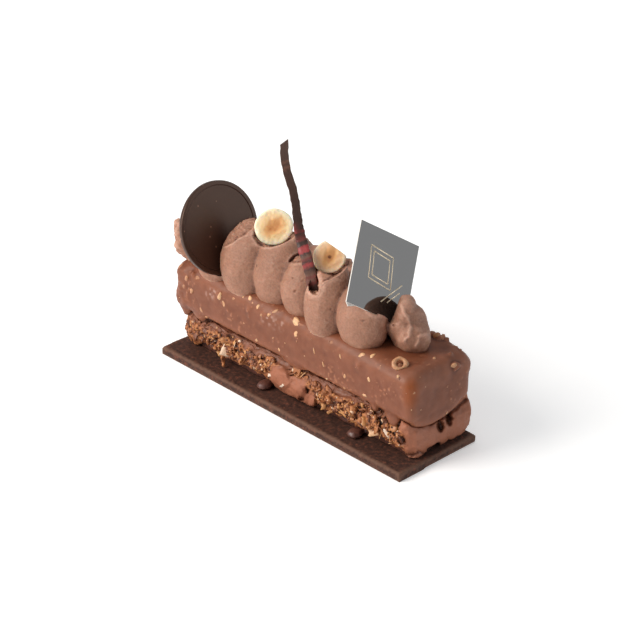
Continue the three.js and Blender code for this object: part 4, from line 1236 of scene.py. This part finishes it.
def makeDisc():
    bpy.ops.mesh.primitive_cylinder_add(vertices=disc["sides"], radius=disc["radius"] * mm,
                                        depth=disc["thickness"] * mm,
                                        location=(0, 0, -disc["thickness"] / 2 * mm))
    piece = bpy.context.object
    piece.name = "dark_disc"
    bpy.ops.object.transform_apply(location=True, rotation=True, scale=True)
    selectOnly(piece)
    bpy.ops.object.mode_set(mode="EDIT")
    bpy.ops.mesh.select_all(action="DESELECT")
    bpy.ops.object.mode_set(mode="OBJECT")
    for face in piece.data.polygons:
        face.select = face.normal.z > 0.9
    bpy.ops.object.mode_set(mode="EDIT")
    bpy.ops.mesh.inset(thickness=disc["groove"] * mm, depth=0)
    bpy.ops.mesh.inset(thickness=disc["grooveSlope"] * mm, depth=-disc["grooveDepth"] * mm)
    bpy.ops.object.mode_set(mode="OBJECT")
    applyModifier(piece, "BEVEL", width=disc["edge"] * mm, segments=2, limit_method="ANGLE",
                  angle_limit=math.radians(40))
    piece.data.transform(discPlace())
    finishPiece(piece, temperedDarkChocolate(), "dark_chocolate", "chocolate_disc")
    bpy.ops.object.shade_smooth_by_angle(angle=math.radians(35))


makeDisc()

# chocolate stick

stick = {"width": 3.1, "footWidth": 4.3, "thickness": 1.15, "length": 52, "steps": 110, "topSlant": 1.1,
         "footForward": 2.2, "path": [
             (-15.8, 0, 100), (-14.4, -0.7, 92.6), (-10, -1.3, 84.2), (-7.7, -2, 79.1), (-6, -2.7, 73.9),
             (-4.3, -3.3, 69.4), (-2, -4, 65.5), (0.8, -4.7, 61.4), (3.6, -5.3, 55.7), (6.2, -6, 48.5)]}


def pathPoint(points, t):
    # a smooth curve through the points
    span = min(int(t * (len(points) - 1)), len(points) - 2)
    u = t * (len(points) - 1) - span
    a, b, c, d = (points[max(0, min(len(points) - 1, span + k))] for k in (-1, 0, 1, 2))
    return 0.5 * ((2 * b) + (c - a) * u + (2 * a - 5 * b + 4 * c - d) * u ** 2
                  + (3 * b - a - 3 * c + d) * u ** 3)


def stickRing(route, t):
    # the strip's section at t, from 0 at its top to 1 at its foot: points, places on the print, red paint
    section = [(-1, -0.6), (-0.9, -1), (-0.3, -1), (0.3, -1), (0.9, -1), (1, -0.6), (1, 0.6), (0.9, 1),
               (0.3, 1), (-0.3, 1), (-0.9, 1), (-1, 0.6)]
    forward = stick["footForward"] * min(1, max(0, (t - 0.62) / 0.25))
    middle = pathPoint(route, t) + forward * faceWay
    along = (pathPoint(route, min(1, t + 0.01)) - pathPoint(route, max(0, t - 0.01))).normalized()
    turn = 0.72 + 0.25 * math.sin(5 * t)
    across = Vector((math.cos(turn), math.sin(turn), 0))
    across = (across - along * across.dot(along)).normalized()
    out = across.cross(along)
    widening = min(1, max(0, (t - 0.35) / 0.35))
    width = (stick["width"] + (stick["footWidth"] - stick["width"]) * widening) / 2
    ring = []
    for u, v in section:
        rough = 1 + 0.05 * math.sin(57 * t + 2 * u) + 0.04 * math.sin(131 * t + 5 * u)
        slant = stick["topSlant"] * (u + 1) if t == 0 else 0
        point = middle + across * u * width * rough + out * v * stick["thickness"] / 2 - along * slant
        left = max(0.0, -u) * (0.46 < t < 0.56) * (t - 0.44) / 0.12  # a red wedge on the left edge
        right = max(0.0, u) * (0.535 < t < 0.56)
        ring.append((np.array(point), (u * width, t * stick["length"]), min(1.0, 0.9 * left + 0.7 * right)))
    return ring


def makeStick():
    route = [Vector(p) for p in stick["path"]]
    steps = stick["steps"]
    rings = [stickRing(route, step / steps) for step in range(steps + 1)]
    count = len(rings[0])
    points, prints, red = zip(*itertools.chain(*rings))
    faces = []
    for step in range(steps):
        for i in range(count):
            a = step * count + i
            b = step * count + (i + 1) % count
            faces.append((a, a + count, b + count, b))
    faces.append(tuple(range(count)))
    faces.append(tuple(reversed(range(steps * count, (steps + 1) * count))))
    piece = pieceFromMesh("printed_strip", points, faces)
    inEditMode(piece, (bpy.ops.mesh.normals_make_consistent, {"inside": False}))
    layer = piece.data.uv_layers.new(name="UVMap")
    for loop in piece.data.loops:
        layer.data[loop.index].uv = prints[loop.vertex_index]
    markPoints(piece, "red", red)
    finishPiece(piece, printedChocolate(stick["length"]), "printed_chocolate", "chocolate_stick")
    bpy.ops.object.shade_smooth_by_angle(angle=math.radians(50))


makeStick()

# hazelnut halves


def turnNut(nut):
    # half a nut turned from its profile, its cut face up, and trimmed where it has a straight cut
    r = nut["radius"]
    depth = nut["depth"]
    back = [(math.sin(a) * r, -0.9 - (depth - 0.9) * math.cos(a)) for a in np.linspace(0, math.pi / 2, 14)]
    profile = back + [(0.99 * r, -0.35), (0.95 * r, -0.05), (0.86 * r, 0), (0.6 * r, -0.05),
                      (0.42 * r, -0.12), (0.2 * r, -0.22), (0, -0.25)]
    piece = pieceFromMesh(nut["name"], [(x, 0, z) for x, z in profile], [])
    piece.data.edges.add(len(profile) - 1)
    for index, edge in enumerate(piece.data.edges):
        edge.vertices = (index, index + 1)
    applyModifier(piece, "SCREW", axis="Z", steps=72, render_steps=72, use_merge_vertices=True,
                  merge_threshold=0.01 * mm)
    inEditMode(piece, (bpy.ops.mesh.remove_doubles, {"threshold": 0.01 * mm}),
               (bpy.ops.mesh.normals_make_consistent, {"inside": False}))
    if "trim" in nut:
        away = Vector((math.sin(-nut["trimTurn"]), math.cos(nut["trimTurn"]), 0))
        inEditMode(piece, (bpy.ops.mesh.bisect, {
            "plane_co": away * nut["trim"] * r * mm, "plane_no": away, "use_fill": True,
            "clear_outer": True}))
        inEditMode(piece, (bpy.ops.mesh.quads_convert_to_tris, {}))
    reskin(piece, nut["voxel"], 3)
    return piece


def makeHazelnut(nut):
    r = nut["radius"]
    piece = turnNut(nut)
    points = readPoints(piece)
    angle = np.arctan2(points[:, 1], points[:, 0])
    reach = np.hypot(points[:, 0], points[:, 1]) / r
    swell = 1 + 0.03 * np.sin(2 * angle + r) + 0.007 * np.sin(5 * angle) + 0.01 * softNoise(points, 2.2, 3)
    points[:, :2] *= swell[:, None]
    turned = angle - math.radians(nut["heart"])
    flat = np.hypot(points[:, 0], points[:, 1])
    heart = np.hypot(flat * np.cos(turned) / (0.66 * r), flat * np.sin(turned) / (0.4 * r))
    face = points[:, 2] > -0.95
    soft = softNoise(points, 1.4, 8)
    points[:, 2] += face * (0.1 * softNoise(points, 1.1, 5) - 0.12 * (1 - ramp(heart, 0.5, 1.1)))
    rim = ramp(reach, 0.6, 0.97)
    tone = np.clip(0.4 - 0.4 * rim + 0.45 * (1 - ramp(heart + 0.2 * soft, 0.3, 1.3)) + 0.06 * soft, 0, 0.88)
    tone += nut.get("core", 0) * (1 - ramp(reach + 0.05 * soft, 0.02, 0.17))
    tone = np.where(face, np.clip(tone, 0, 1), 0.22)
    writePoints(piece, points @ np.array(turnTo(faceAcross, faceWay)).T + np.array(nut["at"]))
    markPoints(piece, "heart", tone)
    finishPiece(piece, toastedHazelnut(nut["rim"], nut["flesh"]), "hazelnut", nut["node"])


for nut in hazelnuts:
    makeHazelnut(nut)

# card


def makeCard():
    bpy.ops.mesh.primitive_cube_add(size=mm)
    piece = bpy.context.object
    piece.name = "gloss_card"
    piece.data.transform(Matrix.Diagonal((card["side"], card["side"], card["thickness"], 1)))
    applyModifier(piece, "BEVEL", width=card["edge"] * mm, segments=2)
    edgeFaces = [face.index for face in piece.data.polygons if abs(face.normal.z) < 0.75]
    ownFaces = len(piece.data.polygons)
    low = -card["side"] / 2
    wedge = [(low + 0.1, -low), (low + 0.1, -low - 5.4), (low - 1.3, -low - 1.4)]
    split = pieceFromMesh("split", [(x, y, z) for z in (-0.22, 0.05) for x, y in wedge], [
        (2, 1, 0), (3, 4, 5), (0, 1, 4, 3), (1, 2, 5, 4), (2, 0, 3, 5)])  # the paper peels at the left corner
    inEditMode(split, (bpy.ops.mesh.normals_make_consistent, {"inside": False}))
    piece = joinPieces("gloss_card", [split, piece])
    edgeFaces.extend(range(ownFaces, len(piece.data.polygons)))
    piece.data.transform(cardPlace(45))
    finishPiece(piece, laminatedCard(), "laminated_card", "card_tag")
    piece.data.materials.append(paperCore())
    for index in edgeFaces:
        piece.data.polygons[index].material_index = 1
    bpy.ops.object.shade_flat()


foil = {"line": 0.46, "thickness": 0.03, "lozenges": (9.4, 6.8), "narrow": 0.8, "middle": 2.4,
        "rules": ((6.4, -8.2), (3.8, -10))}  # each rule's half length and height, in mm


def foilStrip(start, end):
    # a thin flat strip on the card's face, from start to end in the card's own plane
    a = Vector((*start, 0))
    b = Vector((*end, 0))
    middle = (a + b) / 2
    lift = card["thickness"] / 2 + foil["thickness"] / 2
    bpy.ops.mesh.primitive_cube_add(size=1, location=(0, 0, 0))
    strip = bpy.context.object
    strip.data.transform(Matrix.Diagonal(
        ((b - a).length * mm, foil["line"] * mm, foil["thickness"] * mm, 1)))
    strip.data.transform(Matrix.Translation((middle.x * mm, middle.y * mm, lift * mm))
                         @ Matrix.Rotation(math.atan2(b.y - a.y, b.x - a.x), 4, "Z"))
    return strip


def makeFoil():
    strips = []
    for radius in foil["lozenges"]:  # one in the other
        corners = [Vector((foil["narrow"] * radius * math.cos(a), foil["middle"] + radius * math.sin(a)))
                   for a in (0, math.pi / 2, math.pi, 3 * math.pi / 2)]
        strips += [foilStrip(corner, corners[(index + 1) % 4]) for index, corner in enumerate(corners)]
    for half, y in foil["rules"]:
        strips.append(foilStrip((-half, y), (half, y)))
    piece = joinPieces("card_foil", strips)
    piece.data.transform(cardPlace(0))
    finishPiece(piece, goldFoil(), "laminated_card")


makeCard()
makeFoil()
print("all pieces are made")
